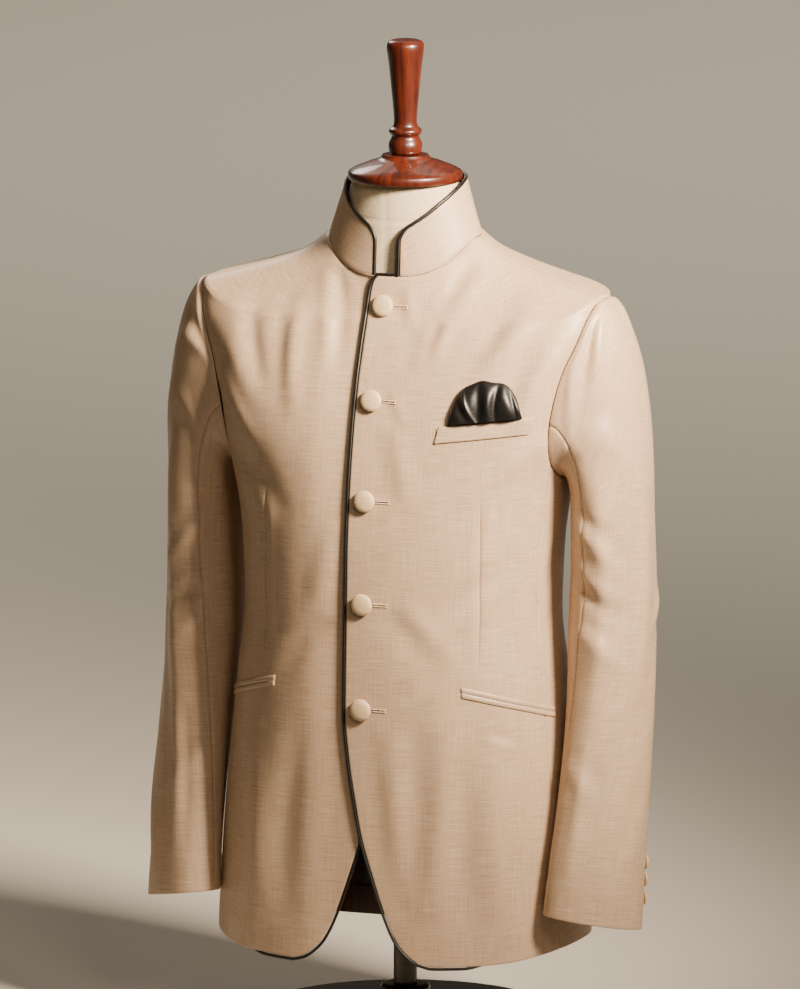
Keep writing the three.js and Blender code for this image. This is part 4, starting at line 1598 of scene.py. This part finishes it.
@dataclass
class BackPanel(Panel):
    """Half of the back, from the side seam to the centre back seam."""

    columns: int = 92
    row_step: float = 4.6

    def outer_angle(self, level: Array) -> Array:
        """Angle of the side seam, the armhole or the shoulder seam.

        Args:
            level: Levels.

        Returns:
            An angle for each level.
        """
        hole = ARMHOLE.angle_at(level, 1)
        low = np.where(level > ARMHOLE.level, hole, np.maximum(hole, SIDE_BACK + gap_angle(level)))
        return np.where(level >= TIP_LEVEL, 90 + ridge_angle(level, "aft"), low)

    def build(self) -> bpy.types.Object:
        """Builds the panel as a closed shell.

        Returns:
            The piece.
        """
        levels = with_ends(refined(LEVELS_SIDE + LEVELS_BACK, self.row_step))
        centre = (180 - ridge_angle(levels, "half"))[:, None]
        first = self.outer_angle(levels)[:, None]
        angle = first + (centre - first) * edged(self.columns, EDGE_STEPS, 150)
        level = np.broadcast_to(levels[:, None], angle.shape)
        signed = self.side.value * angle
        from_outer, from_centre = row_distance(BODY.point(signed, level))
        hem = level - levels[0]
        turned = fold_round(hem)
        seams = seam_dip(from_outer) + seam_dip(from_centre, 0.9) + seam_dip(levels[-1] - level)
        grids = wall(BODY, signed, level, hem_step(hem) - turned - seams, turned)
        start = -row_distance(grids[0])[0][:, -1]
        uvs = cloth_uvs(grids[0], start, CLOTH_PLACE["back"])
        return lay_cloth(self.node("back"), grids, uvs, self.finishes.silk, self.side)


class SleevePart(Enum):
    """The two pieces that a tailored sleeve is sewn from.

    Each has its seams' angles and its number of columns.
    """

    TOP = (-6.0, 197.0, 92)
    UNDER = (197.0, 354.0, 66)


@dataclass
class Sleeve(Panel):
    """A two-piece sleeve with its cuff buttons."""

    row_step: float = 4.4
    heights: tuple[float, ...] = (196, 179.5, 163)
    button_angle: float = 2.0

    def values(self) -> Array:
        """Rows of the sleeve, from the armhole to the cuff.

        Returns:
            The rises.
        """
        head = np.array([0, 0.003, 0.008, 0.016, 0.027, 0.04, *np.linspace(0.06, 0.98, 44)]) - 1
        tube = np.linspace(0, 1, int(SLEEVE_DROP / self.row_step))
        cuff = 1 - np.array(EDGE_STEPS[::-1]) / SLEEVE_DROP
        return np.concatenate([head, tube[tube < 1 - 6 / SLEEVE_DROP], cuff])

    def build_part(self, part: SleevePart) -> bpy.types.Object:
        """Builds the top or the under sleeve.

        Args:
            part: Which of the two.

        Returns:
            The piece.
        """
        surface, values = SleeveSurface(self.side), self.values()
        start, end, columns = part.value
        gap = math.degrees(SEAM_GAP / 2 / 50)
        spread = edged(columns, EDGE_STEPS, 0.87 * (end - start))
        angle, value = np.meshgrid(start + gap + (end - start - 2 * gap) * spread, values)
        from_first, from_last = row_distance(surface.point(angle, value))
        turned = fold_round((1 - value) * SLEEVE_DROP)
        head_seam = seam_dip((value + 1) * 150, 0.5)
        lift = -turned - seam_dip(from_first) - seam_dip(from_last) - head_seam
        lift = lift + 0.35 * smoothstep(value, 0.905, 0.916)
        # The cuff's sham vent laps beside the hind seam, behind the buttons
        vent = smoothstep(value, 0.76, 0.775) * (part is SleevePart.TOP)
        lift = lift + vent * 0.8 * (1 - smoothstep(from_first, 13, 14))
        grids = wall(surface, angle, value, lift, turned)
        word = f"sleeve_{part.name.lower()}"
        uvs = cloth_uvs(grids[0], offset=CLOTH_PLACE[word])
        carried = [f"coat_front_{self.side.word}"]
        silk = self.finishes.silk
        return lay_cloth(self.node(word), grids, uvs, silk, self.side, rests_on=carried)

    def build(self) -> None:
        """Builds both pieces of the sleeve and its buttons."""
        for part in SleevePart:
            self.build_part(part)
        surface = SleeveSurface(self.side)
        for i, height in enumerate(self.heights):
            place = np.array(self.button_angle), np.array((CAP_BASE - height) / SLEEVE_DROP)
            away = surface.outward(*place) * [self.side.value, 1, 1]
            name = f"{self.node('cuff_button')}_{i + 1}"
            at = surface.on(*place, np.array(-0.4))
            CUFF_BUTTON.build(name, at, away, self.finishes)


@dataclass
class CoveredButton:
    """A metal button covered with the coat's cloth, on a shank."""

    radius: float
    thick: float
    shank: float
    lift: float
    turns: int = 48

    def profile(self) -> Array:
        """The button's outline from the shank to the crown.

        Returns:
            Radius and height pairs.
        """
        turn = np.radians(np.linspace(-62, 90, 22))
        rise = self.thick * (0.36 + np.where(turn < 0, 0.3, 0.64) * np.sin(turn))
        dome = np.stack([self.radius * np.cos(turn) ** 0.72, self.lift + rise], axis=1)
        dome[-1, 0] = 0
        foot = [[0, 0], [self.shank, 0], [self.shank, self.lift + 0.5]]
        return np.concatenate([foot, dome])

    def build(self, name: str, at: Array, away: Array, finishes: Finishes) -> bpy.types.Object:
        """Builds the button standing on the cloth.

        Args:
            name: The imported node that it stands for.
            at: The point that it stands on.
            away: The cloth's outward direction.
            finishes: The materials.

        Returns:
            The piece.
        """
        aside = unit(np.cross(np.array([0.0, 0.0, 1.0]), away))
        up = np.cross(away, aside)
        radius, height = self.profile().T[..., None]
        turn = np.linspace(0, 2 * np.pi, self.turns, endpoint=False)
        # The cover is drawn to the back in small gathers round the rim
        gather = 0.012 * np.cos(turn * 16) * np.exp(-(((height - self.lift) / 1.2) ** 2))
        radius = radius * (1 + gather)
        round_it = np.cos(turn)[:, None] * aside + np.sin(turn)[:, None] * up
        points = at + radius[..., None] * round_it + height[..., None] * away
        kept = np.concatenate([points[1:-1].reshape(-1, 3), points[[0, -1], 0]])
        flat = (kept - at) @ np.stack([aside, up], axis=1)
        faces = ring_faces(len(points) - 2, self.turns, Ends.TIPS)
        piece = make_mesh(f"silk_{name}", kept, faces, finishes.button, flat * 0.001 + 0.07)
        return finish_piece(piece, "covered_button", name)


# A 36-line coat button and a 24-line cuff button
FRONT_BUTTON = CoveredButton(radius=11.5, thick=6.0, shank=3.2, lift=0.5)
CUFF_BUTTON = CoveredButton(radius=7.6, thick=4.6, shank=2.2, lift=0.9)


@dataclass
class Buttonhole:
    """A worked buttonhole: two rows of purl stitches, a bar, and a near-black strip of painted
    shade in the slit.
    """

    start: float = 12.8
    end: float = 25.8
    half_gap: float = 1.15

    def line(self, z: float, rise: float, xs: Array, out: float) -> Array:
        """Points of a row of stitches on the left front."""
        angle, level = BODY.find_on_front(xs, np.full_like(xs, z + rise))
        return BODY.on(angle, level, np.full_like(xs, out))

    def build(self, index: int, z: float, finishes: Finishes, work: ThreadWork) -> None:
        """Builds one buttonhole's stitches and the painted shade strip in its slit.

        Args:
            index: The button's number.
            z: Its height.
            finishes: The materials.
            work: The node trees.
        """
        xs = np.linspace(self.start, self.end, 12)
        rows = [self.line(z, rise, xs, 0.15) for rise in (self.half_gap, -self.half_gap)]
        rises, bar_x = np.linspace(-1.7, 1.7, 5), np.array([self.end + 0.4])
        rows.append(np.concatenate([self.line(z, rise, bar_x, 0.15) for rise in rises]))
        name = f"buttonhole_stitches_{index}"
        sizes = {"Spacing": 0.0006, "Long": 0.0004, "Thick": 0.00075}
        finish_piece(work.run(name, rows, work.stitch_tree, sizes, finishes.thread), "raw_silk")
        # The slit's near-black strip is painted shade, standing in for the shadow in the cut
        edge = self.half_gap * 0.62
        lines = [self.line(z, r, xs, out) for out in (0.22, -0.4) for r in (-edge, 0, edge)]
        faces = shell_faces(3, len(xs), False)
        slit = make_mesh(f"buttonhole_slit_{index}", np.stack(lines), faces, finishes.lining)
        finish_piece(slit, "raw_silk")


@dataclass
class Collar:
    """The stand collar, with rounded front corners."""

    finishes: Finishes
    end_x: float = 15.0
    corner: float = 9.0
    height: float = 42.0
    middle: int = 190
    rows: int = 34

    def columns(self) -> tuple[Array, Array, Array]:
        """Places of the collar's columns, close together at both ends.

        Returns:
            Each column's angle at the seam and at the top, and how high it reaches.
        """
        away = np.array([0, 0.35, 0.9, 1.6, 2.6, 3.8, 5.2, 7.0, 9.0])
        low = BODY.angle_of_x(self.end_x + away, np.full_like(away, NECK_LEVEL))
        high = np.degrees(np.arcsin((self.end_x + away) / COLLAR.half))
        inside = np.maximum(self.corner - away, 0)
        top = 1 - (self.corner - np.sqrt(self.corner**2 - inside**2)) / self.height
        found = []
        for end in (low, high):
            between = np.linspace(end[-1], 360 - end[-1], self.middle)[1:-1]
            found.append(np.concatenate([end, between, 360 - end[::-1]]))
        return found[0], found[1], np.concatenate([top, np.ones(self.middle - 2), top[::-1]])

    def build(self) -> bpy.types.Object:
        """Builds the collar as one closed shell.

        Returns:
            The piece.
        """
        low, high, top = self.columns()
        share = edged(self.rows, EDGE_STEPS, self.height)[:, None] * top
        angle = low + (high - low) * share
        from_end = np.minimum(*row_distance(COLLAR.point(angle, share)))
        turned = np.maximum(fold_round(from_end), fold_round((top - share) * self.height))
        lift = -turned - seam_dip(share * self.height, 0.6)
        grids = wall(COLLAR, angle, share, lift, turned, 1.9)
        uvs = cloth_uvs(grids[0], offset=CLOTH_PLACE["collar"])
        backs = ("coat_back_left", "coat_back_right")
        return lay_cloth("collar", grids, uvs, self.finishes.silk, Side.LEFT, Held.STRETCHED, backs)


@dataclass
class Piping:
    """Black satin piping along the fronts, the hem's corners and the collar."""

    finishes: Finishes
    work: ThreadWork
    clear: float = 2.05
    sink: float = 0.8
    neck_x: float = 13.4
    hem_x: float = 128.0

    def beside(self, points: Array, outward: Array, away: float) -> Array:
        """The cord's centre line beside an edge.

        Args:
            points: Points on the edge.
            outward: The cloth's outward direction at each.
            away: Which side of the edge it lies on, 1 or -1.

        Returns:
            The centre line.
        """
        along = unit(np.gradient(points, axis=0))
        return points + unit(np.cross(along, outward)) * away * self.clear

    def sew(self, place: str, line: Array, radius: float) -> bpy.types.Object:
        """Makes the cord along its centre line.

        Args:
            place: Where the cord is, as its node's name has it.
            line: The centre line.
            radius: The cord's radius in metres.

        Returns:
            The piece.
        """
        name, sizes = f"satin_piping_{place}", {"Radius": radius}
        piece = self.work.run(name, [line], self.work.cord_tree, sizes, self.finishes.satin)
        return finish_piece(piece, "black_satin", f"piping_{place}")

    def front(self, side: Side) -> bpy.types.Object:
        """The cord down one front's edge and round to its hem.

        Args:
            side: Which front.

        Returns:
            The piece.
        """
        levels = refined(FRONT_LEVELS, 6)[::-1]
        ends = FRONT_EDGE.read("x", [NECK_LEVEL, HEM_LEVEL])
        neck = np.linspace(self.neck_x, ends[0], 9)[:-1]
        hem = np.linspace(ends[1], self.hem_x, 16)[1:]
        x = np.concatenate([neck, FRONT_EDGE.read("x", levels), hem])
        level = np.concatenate([0 * neck + NECK_LEVEL, levels, 0 * hem + HEM_LEVEL])
        signed = side.value * BODY.angle_of_x(x, level)
        under = FrontPanel(side, self.finishes).sink(side.value * BODY.point(signed, level)[..., 0])
        outward = BODY.outward(signed, level)
        line = self.beside(BODY.on(signed, level, -self.sink - under), outward, side.value)
        # The cord dies into the hem at its far end
        fade = np.linspace(0, 1, 6)[1:, None]
        line[-5:] -= outward[-5:] * 2.6 * fade**2
        line[-5:, 2:] += 3.4 * fade**1.5
        return self.sew(f"front_{side.word}", line, 0.00158)

    def collar(self) -> bpy.types.Object:
        """The cord round the collar's ends and top.

        Returns:
            The piece.
        """
        low, high, top = (np.pad(row, 8, mode="edge") for row in Collar(self.finishes).columns())
        share = top.copy()
        climb = np.linspace(0.0, top[0], 9)[:-1]
        share[:8], share[-8:] = climb, climb[::-1]
        angle = low + (high - low) * share
        points = COLLAR.on(angle, share, np.full_like(share, -1.0))
        return self.sew("collar", self.beside(points, COLLAR.outward(angle, share), -1), 0.00185)


# The breast welt climbs from its inner end, in millimetres on the left front
WELT_X, WELT_LONG, WELT_Z, WELT_CLIMB, WELT_TALL = 73.0, 93.0, 645.0, 11.0, 20.0
LIP_TALL = 11.5


@dataclass
class Welts:
    """The breast pocket's welt and the two jetted hip pockets."""

    finishes: Finishes
    work: ThreadWork
    # A hip pocket starts at an angle and a level, turns round the body and falls
    hip_angle: float = 33.0
    hip_turn: float = 46.0
    hip_level: float = 378.0
    hip_fall: float = 30.0

    def strip(
        self, angles: Array, levels: Array, tall: float, profile: Callable[[Array], Array]
    ) -> Grids:
        """Outer and inner grids of a strip of cloth lying on a front.

        Args:
            angles: Angles along the strip.
            levels: Levels along its middle.
            tall: How tall it is.
            profile: Height of the cloth at each share of its height.

        Returns:
            The grids.
        """
        shares = edged(34, (0.0, 0.25, 0.6, 1.1, 1.8), tall) - 0.5
        angle = np.broadcast_to(angles, (len(shares), len(angles)))
        level = levels + shares[:, None] * tall
        ends = np.minimum(*row_distance(BODY.point(angle, level)))
        height = np.maximum(profile(shares)[:, None] - fold_round(ends, 1.0), 0.28)
        return BODY.on(angle, level, height), BODY.on(angle, level, np.full(level.shape, 0.2))

    def breast(self) -> bpy.types.Object:
        """The slanting welt of the breast pocket, edge-stitched at its ends.

        Returns:
            The welt.
        """
        shares = edged(80, EDGE_STEPS, 94)
        middle = WELT_X + WELT_LONG * shares, WELT_Z + WELT_CLIMB * shares

        def profile(share: Array) -> Array:
            """Folded top edge, pressed foot."""
            top = fold_round((0.5 - share) * WELT_TALL, 1.2)
            return 2.0 - top - fold_round((share + 0.5) * WELT_TALL, 1.5)

        grids = self.strip(*BODY.find_on_front(*middle), WELT_TALL, profile)
        uvs = cloth_uvs(grids[0], offset=CLOTH_PLACE["breast_welt"])
        front, silk = ["coat_front_left"], self.finishes.silk
        piece = lay_cloth("breast_welt", grids, uvs, silk, Side.LEFT, Held.STRETCHED, front)
        lines = []
        for x in (WELT_X + 1.6, WELT_X + WELT_LONG - 1.6):
            rise = WELT_CLIMB * (x - WELT_X) / WELT_LONG
            angle, level = BODY.find_on_front(
                np.full(12, x), WELT_Z + rise + np.linspace(-8.6, 8.6, 12)
            )
            lines.append(BODY.on(angle, level, np.full(12, 1.95)))
        sizes, tree = {"Spacing": 0.0021, "Long": 0.0008, "Thick": 0.00026}, self.work.stitch_tree
        name, thread = "breast_welt_stitches", self.finishes.thread
        finish_piece(self.work.run(name, lines, tree, sizes, thread), "raw_silk")
        return piece

    def hip(self, side: Side) -> bpy.types.Object:
        """A jetted pocket: two rounded lips with a near-black strip of painted shade in the mouth
        between.

        Args:
            side: Which front it is on.

        Returns:
            The lips.
        """
        shares = edged(90, EDGE_STEPS, 105)
        angles = side.value * (self.hip_angle + self.hip_turn * shares)
        levels = self.hip_level - self.hip_fall * shares

        def profile(share: Array) -> Array:
            """Two lips."""
            across = (np.abs(share) - 0.25) / 0.25
            return 0.35 + 1.45 * np.sqrt(np.clip(1 - across**2, 0, 1)) ** 0.8

        grids = self.strip(angles, levels, LIP_TALL, profile)
        uvs = cloth_uvs(grids[0], offset=CLOTH_PLACE["hip_welt"])
        node, front = f"hip_welt_{side.word}", [f"coat_front_{side.word}"]
        piece = lay_cloth(node, grids, uvs, self.finishes.silk, side, Held.STRETCHED, front)
        # The mouth is a near-black strip of painted shade, standing in for the shadow inside the
        # pocket
        level = np.array([-0.055, 0.0, 0.055])[:, None] * LIP_TALL + levels[5:-5]
        angle = np.broadcast_to(angles[5:-5], level.shape)
        mouth = [BODY.on(angle, level, np.full(level.shape, out)) for out in (0.95, 0.3)]
        faces = shell_faces(3, angle.shape[1], side is Side.RIGHT)
        name = f"hip_pocket_mouth_{side.word}"
        dark = make_mesh(name, np.concatenate(mouth), faces, self.finishes.lining)
        finish_piece(dark, "raw_silk")
        return piece


@dataclass(frozen=True)
class SquareFold:
    """A fold of the pocket square, bowed on its way from the welt to the crown."""

    foot: float
    head: float
    bow: float
    wide: float
    out: float

    def lift(self, across: Array, up: Array) -> Array:
        """How far the fold pushes the satin out.

        Args:
            across: Places from one side (-1) to the other (1).
            up: Places from the welt (0) to the crown (1).

        Returns:
            The lift at each place.
        """
        middle = self.foot + (self.head - self.foot) * up - self.bow * up * (1 - up)
        fade = np.sin(np.pi * np.clip(0.12 + 0.88 * up, 0, 1)) ** 0.6
        return self.out * fade * np.exp(-(((across - middle) / self.wide) ** 2))


@dataclass
class PocketSquare:
    """A black satin square puffed up out of the breast pocket."""

    finishes: Finishes
    inner_x: float = 84.0
    outer_x: float = 158.0
    tall: float = 43.0
    puff: float = 9.0
    folds: tuple[SquareFold, ...] = (
        SquareFold(-0.22, -0.62, 0.42, 0.055, 2.1),
        SquareFold(-0.42, -0.86, 0.3, 0.12, -1.6),
        SquareFold(-0.14, -0.2, -0.1, 0.15, -3.6),
        SquareFold(0.12, 0.1, 0.06, 0.2, 2.0),
        SquareFold(0.3, 0.42, 0.3, 0.1, -3.4),
        SquareFold(0.62, 0.46, -0.2, 0.14, 1.8),
        SquareFold(0.84, 0.66, -0.15, 0.07, -1.8),
    )

    def build(self) -> bpy.types.Object:
        """Builds the puff with its soft folds.

        Returns:
            The piece.
        """
        close = (0.0, 0.25, 0.6, 1.1)
        across = edged(120, close, self.outer_x - self.inner_x)[None, :] * 2 - 1
        up = edged(64, close, 40)[:, None]
        crown = np.clip(1 - np.abs(across) ** 2.7, 0, 1) ** 0.44
        crown = crown * (1 - 0.06 * across - 0.02 * np.cos(9 * across - 2.2))
        centre, half = (self.inner_x + self.outer_x) / 2, (self.outer_x - self.inner_x) / 2
        x = centre + half * across * (1 - 0.05 * up)
        top_edge = WELT_Z + WELT_CLIMB * (x - WELT_X) / WELT_LONG + 9.4
        z = top_edge + (self.tall * (0.03 + 0.97 * crown) - 2) * up
        angle, level = BODY.find_on_front(x, z)
        bulge = np.sqrt(np.clip(1 - np.abs(across) ** 3, 0, 1) * (1 - up**4))
        swell = bulge * (0.62 + 0.38 * np.sin(np.pi * up))
        folds = sum(fold.lift(across, up) for fold in self.folds)
        outer = BODY.on(angle, level, 1.9 + self.puff * swell + folds * np.sqrt(swell))
        inner = BODY.on(angle, level, np.full(angle.shape, 0.3))
        return lay_cloth(
            "pocket_square",
            (outer, inner),
            cloth_uvs(outer),
            self.finishes.satin,
            held=Held.GATHERED,
            rests_on=["coat_breast_welt"],
            slot="black_satin",
            name="satin_pocket_square",
        )


# ---- The dress form and its stand ----


def finish_hard(
    name: str,
    points: Array,
    faces: list[list[int]],
    material: bpy.types.Material,
    slot: str,
    node: str,
) -> bpy.types.Object:
    """Makes a hard piece whose sharp corners stay sharp under smooth shading.

    Args:
        name: The piece's name.
        points: Its points.
        faces: Its faces.
        material: Its finish.
        slot: The record's material slot.
        node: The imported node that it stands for.

    Returns:
        The piece.
    """
    piece = make_mesh(name, points, faces, material)
    piece.data.set_sharp_from_angle(angle=math.radians(38))
    return finish_piece(piece, slot, node)


@dataclass
class Turned:
    """A turned piece on the stand's axis, from radius and height pairs."""

    name: str
    node: str
    slot: str
    profile: tuple[tuple[float, float], ...]
    turns: int = 72
    soft: bool = False
    ring: bool = False

    def smooth_profile(self) -> Array:
        """The profile, with its corners cut where it is soft.

        Returns:
            Radius and height pairs.
        """
        points = np.array(self.profile, float)
        for _ in range(3 * self.soft):
            low, high = points[:-1], points[1:]
            cut = np.stack([low * 0.75 + high * 0.25, low * 0.25 + high * 0.75], axis=1)
            points = np.concatenate([points[:1], cut.reshape(-1, 2), points[-1:]])
        return points

    def build(self, material: bpy.types.Material) -> bpy.types.Object:
        """Turns the profile into a closed mesh.

        Args:
            material: Its finish.

        Returns:
            The piece.
        """
        radius, z = self.smooth_profile().T[..., None]
        turn = np.linspace(0, 2 * np.pi, self.turns, endpoint=False)
        grid = np.stack([radius * np.cos(turn), radius * np.sin(turn), z + 0 * turn], axis=-1)
        rings, ends = (grid[:-1], Ends.LOOP) if self.ring else (grid[1:-1], Ends.TIPS)
        points = rings.reshape(-1, 3)
        if not self.ring:
            points = np.concatenate([points, grid[[0, -1], 0]])
        faces = ring_faces(len(rings), self.turns, ends)
        return finish_hard(self.name, points, faces, material, self.slot, self.node)


CAP_PROFILE = (
    (0, 893), (55.5, 893), (58.4, 893.5), (59.5, 895.2), (59.5, 901), (58.6, 902.4), (54.5, 905),
    (47, 908.2), (37.5, 912), (30.5, 914.2), (27, 915.5), (25.2, 917.2), (24, 919.5), (18, 920),
    (0, 920),
)
FINIAL_PROFILE = (
    (0, 920.3), (15.5, 920.3), (17.1, 922.4), (17.8, 928.3), (17.0, 932.5), (14.8, 936.4),
    (14.2, 938.8), (14.8, 940.2), (16.6, 941.6), (17.4, 943.8), (16.8, 946.2), (13.4, 948.2),
    (12.2, 950.6), (11.9, 955.3), (12.6, 966.3), (14.1, 981.3), (15.8, 998.3), (17.6, 1016.3),
    (19.2, 1026.3), (19.6, 1031.3), (19.0, 1035.6), (16.2, 1038.6), (11, 1039.8), (5, 1040.2),
    (0, 1040.3),
)
POLE_PROFILE = ((0, 12.3), (12.4, 12.3), (12.4, 136.7), (0, 136.7))
SOCKET_PROFILE = (
    (12.7, 12.3), (26, 12.3), (26, 38), (25.2, 40.4), (23.4, 41.6), (21.6, 42), (12.7, 42),
    (12.7, 12.3),
)
FOOT_PROFILE = (
    (0, 0), (158.5, 0), (160, 1.5), (160, 8), (159.4, 10.2), (157.8, 11.6), (155.6, 12), (0, 12),
)
WOODEN = (
    Turned("mahogany_neck_cap", "form_neck_cap", "mahogany", CAP_PROFILE, 96),
    Turned("mahogany_finial", "form_finial", "mahogany", FINIAL_PROFILE, soft=True),
)
STEEL = (
    Turned("steel_pole", "stand_pole", "dark_metal", POLE_PROFILE),
    Turned("steel_socket", "stand_socket", "dark_metal", SOCKET_PROFILE, ring=True),
    Turned("steel_foot", "stand_foot", "dark_metal", FOOT_PROFILE, 128),
)
TORSO_LEVELS = (
    236, 290, 345, 400, 450, 500, 550, 600, 650, 700, 740, 762, 786, 800, 817, 838,
)


@dataclass
class DressForm:
    """The limbless form: padded torso in linen, and the wood block under it."""

    finishes: Finishes
    inset: float = 8.0
    shoulder_inset: float = 2.6
    sides: int = 144
    bottom: float = 236.0
    neck_top: float = 892.7
    neck_half: float = 56.0
    neck_fore: float = 49.0
    neck_aft: float = 51.0
    block_inset: float = 26.0
    block_top: float = 235.7
    block_sides: int = 96
    # The block's height and how far it stands out there, from its foot up
    block_steps: tuple[tuple[float, float], ...] = (
        (137, -1), (137.6, 1.8), (139, 4), (166, 4), (167.5, 3.2), (168, 2), (168, 0), (235.7, 0),
    )

    def torso(self) -> bpy.types.Object:
        """The torso and neck as one closed skin, with the neck's seams pressed in.

        Returns:
            The piece.
        """
        angles = np.linspace(0, 360, self.sides, endpoint=False)
        s, c = np.sin(np.radians(angles)), np.cos(np.radians(angles))
        angle, level = np.meshgrid(angles, refined(TORSO_LEVELS, 18))
        shoulder = smoothstep(level, 760, 790) * np.abs(s) ** 6 * (1 - smoothstep(level, 800, 830))
        inset = self.inset - (self.inset - self.shoulder_inset) * shoulder
        skin = BODY.point(angle, level) - BODY.outward(angle, level) * inset[..., None]
        skin[0, :, 2] = self.bottom
        depth = np.where(c > 0, self.neck_fore, self.neck_aft)
        high = np.stack([self.neck_half * s, -depth * c, 0 * s + self.neck_top], axis=-1)
        climb = skin[-1] + (high - skin[-1]) * np.linspace(0, 1, 40)[1:, None, None]
        # A seam runs down the front of the neck, and one round it under the cap
        away = unit(climb * np.array([1, 1, 0]))
        seam = 0.8 * np.exp(-(((climb[..., 0] + 4) / 1.3) ** 2)) * (climb[..., 1] < 0)
        round_seam = 0.6 * np.exp(-(((climb[..., 2] - (self.neck_top - 36)) / 1.6) ** 2))
        grid = np.concatenate([skin, climb - away * (seam + round_seam)[..., None]])
        faces = ring_faces(len(grid), self.sides, Ends.FLAT)
        linen = self.finishes.linen
        piece = finish_hard("form_torso_linen", grid, faces, linen, "cream_linen", "form_torso")
        return piece

    def block(self) -> bpy.types.Object:
        """The stepped wood block that the pole enters.

        Returns:
            The piece.
        """
        angles = np.linspace(0, 360, self.block_sides, endpoint=False)
        around = BODY.point(angles, np.full_like(angles, self.block_top))
        length = np.hypot(around[:, 0], around[:, 1])
        grid = []
        for z, out in self.block_steps:
            share = (1 - (self.block_inset - out) / length)[:, None]
            grid.append(np.concatenate([around[:, :2] * share, 0 * share + z], axis=1))
        faces = ring_faces(len(grid), self.block_sides, Ends.FLAT)
        wood, points = self.finishes.block_wood, np.array(grid)
        return finish_hard("form_wood_block", points, faces, wood, "dark_wood", "form_block")

    def build(self) -> None:
        """Builds the form, its cap and finial, and the stand."""
        self.torso()
        self.block()
        for part in WOODEN:
            part.build(self.finishes.mahogany)
        for part in STEEL:
            part.build(self.finishes.steel)


@dataclass
class Coat:
    """The whole coat, built in the order it is sewn."""

    finishes: Finishes
    work: ThreadWork
    heights: tuple[float, ...] = (770, 676, 574, 467, 357)

    def build(self) -> None:
        """Builds the panels, sleeves, collar, pockets, piping and buttons."""
        for side in Side:
            FrontPanel(side, self.finishes).build()
            SidePanel(side, self.finishes).build()
            BackPanel(side, self.finishes).build()
            Sleeve(side, self.finishes).build()
        Collar(self.finishes).build()
        welts = Welts(self.finishes, self.work)
        welts.breast()
        piping = Piping(self.finishes, self.work)
        for side in Side:
            welts.hip(side)
            piping.front(side)
        piping.collar()
        PocketSquare(self.finishes).build()
        for i, height in enumerate(self.heights):
            angle, level = BODY.find_on_front(np.array(0.0), np.array(height))
            at, away = BODY.on(angle, level, np.array(0.3)), BODY.outward(angle, level)
            FRONT_BUTTON.build(f"button_{i + 1}", at, away, self.finishes)
            Buttonhole().build(i + 1, height, self.finishes, self.work)


# ---- Camera, light and floor ----

FLOOR_HALF, FLOOR_DROP = 40000.0, -0.3


@dataclass(frozen=True)
class Studio:
    """The photograph's camera, and soft studio light."""

    azimuth: float = 20.0
    elevation: float = 10.0
    distance: float = 14.0
    lens: float = 489.2
    target: tuple[float, float, float] = (-0.006, 0.0, 0.5607)
    lit: tuple[float, float, float] = (0.04, 0.0, 0.82)
    spread: float = 46.0
    fill: float = 0.12

    def face(self, made: bpy.types.Object, aim: Sequence[float], place: Sequence[float]) -> None:
        """Puts a camera or a light where it looks at a point, and links it.

        Args:
            made: The camera or light.
            aim: The point.
            place: Azimuth and elevation in degrees, 0 being in front, and distance in metres.
        """
        a, e = math.radians(place[0]), math.radians(place[1])
        away = Vector((math.sin(a) * math.cos(e), -math.cos(a) * math.cos(e), math.sin(e)))
        made.location = Vector(aim) + away * place[2]
        made.rotation_euler = away.to_track_quat("Z", "Y").to_euler()
        bpy.context.scene.collection.objects.link(made)

    def camera(self) -> None:
        """Makes the scene's camera."""
        data = bpy.data.cameras.new("camera")
        data.lens, data.sensor_width = self.lens, 36.0
        made = bpy.data.objects.new("camera", data)
        self.face(made, self.target, (self.azimuth, self.elevation, self.distance))
        bpy.context.scene.camera = made

    def light(
        self, name: str, size: float, power: float, colour: str, spread: float
    ) -> bpy.types.Object:
        """Makes a square soft light.

        Args:
            name: The light's name.
            size: Its side in metres.
            power: Its power in watts.
            colour: Its colour.
            spread: The angle that it shines over, in degrees.

        Returns:
            The light, facing straight down.
        """
        data = bpy.data.lights.new(name, "AREA")
        data.shape, data.size, data.energy = "SQUARE", size, power
        data.spread, data.color = math.radians(spread), linear(colour)[:3]
        return bpy.data.objects.new(name, data)

    def build(self, finishes: Finishes) -> None:
        """Adds the lights, the world's fill and the floor.

        Args:
            finishes: The materials.
        """
        key = self.light("key", 0.45, 22, "#ffead0", self.spread)
        front = self.light("front", 0.7, 1.6, "#ffedd6", self.spread)
        rim = self.light("rim", 0.8, 1.2, "#fff6ea", self.spread)
        places = ((64, 30, 2.1), (34, 26, 3.0), (-135, 30, 2.6))
        for made, place in zip((key, front, rim), places):
            self.face(made, self.lit, place)
        # One more light, over the floor far behind, keeps the picture's ground pale
        backdrop = self.light("backdrop", 8.0, 210, "#f3ead9", 110)
        backdrop.location = Vector((-1.0, 6.5, 5.0))
        bpy.context.scene.collection.objects.link(backdrop)
        world = bpy.data.worlds.new("studio")
        world.use_nodes = True
        background = world.node_tree.nodes["Background"]
        background.inputs["Color"].default_value = linear("#dccbb4")
        background.inputs["Strength"].default_value = self.fill
        bpy.context.scene.world = world
        across, deep = FLOOR_HALF * np.array([[-1, 1, 1, -1], [-1, -1, 1, 1]])
        corners = np.stack([across, deep, np.full(4, FLOOR_DROP)], axis=1)
        floor = make_mesh("studio_floor", corners, [[0, 1, 2, 3]], finishes.floor)


def main() -> None:
    """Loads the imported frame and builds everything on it."""
    logging.basicConfig(level=logging.INFO, format="%(message)s")
    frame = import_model()
    log.info("packed frame: %d nodes", len(frame["nodes"]))
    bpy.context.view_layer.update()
    studio = Studio()
    studio.camera()
    finishes = Finishes()
    work = ThreadWork()
    DressForm(finishes).build()
    Coat(finishes, work).build()
    studio.build(finishes)


if __name__ == "__main__":
    main()
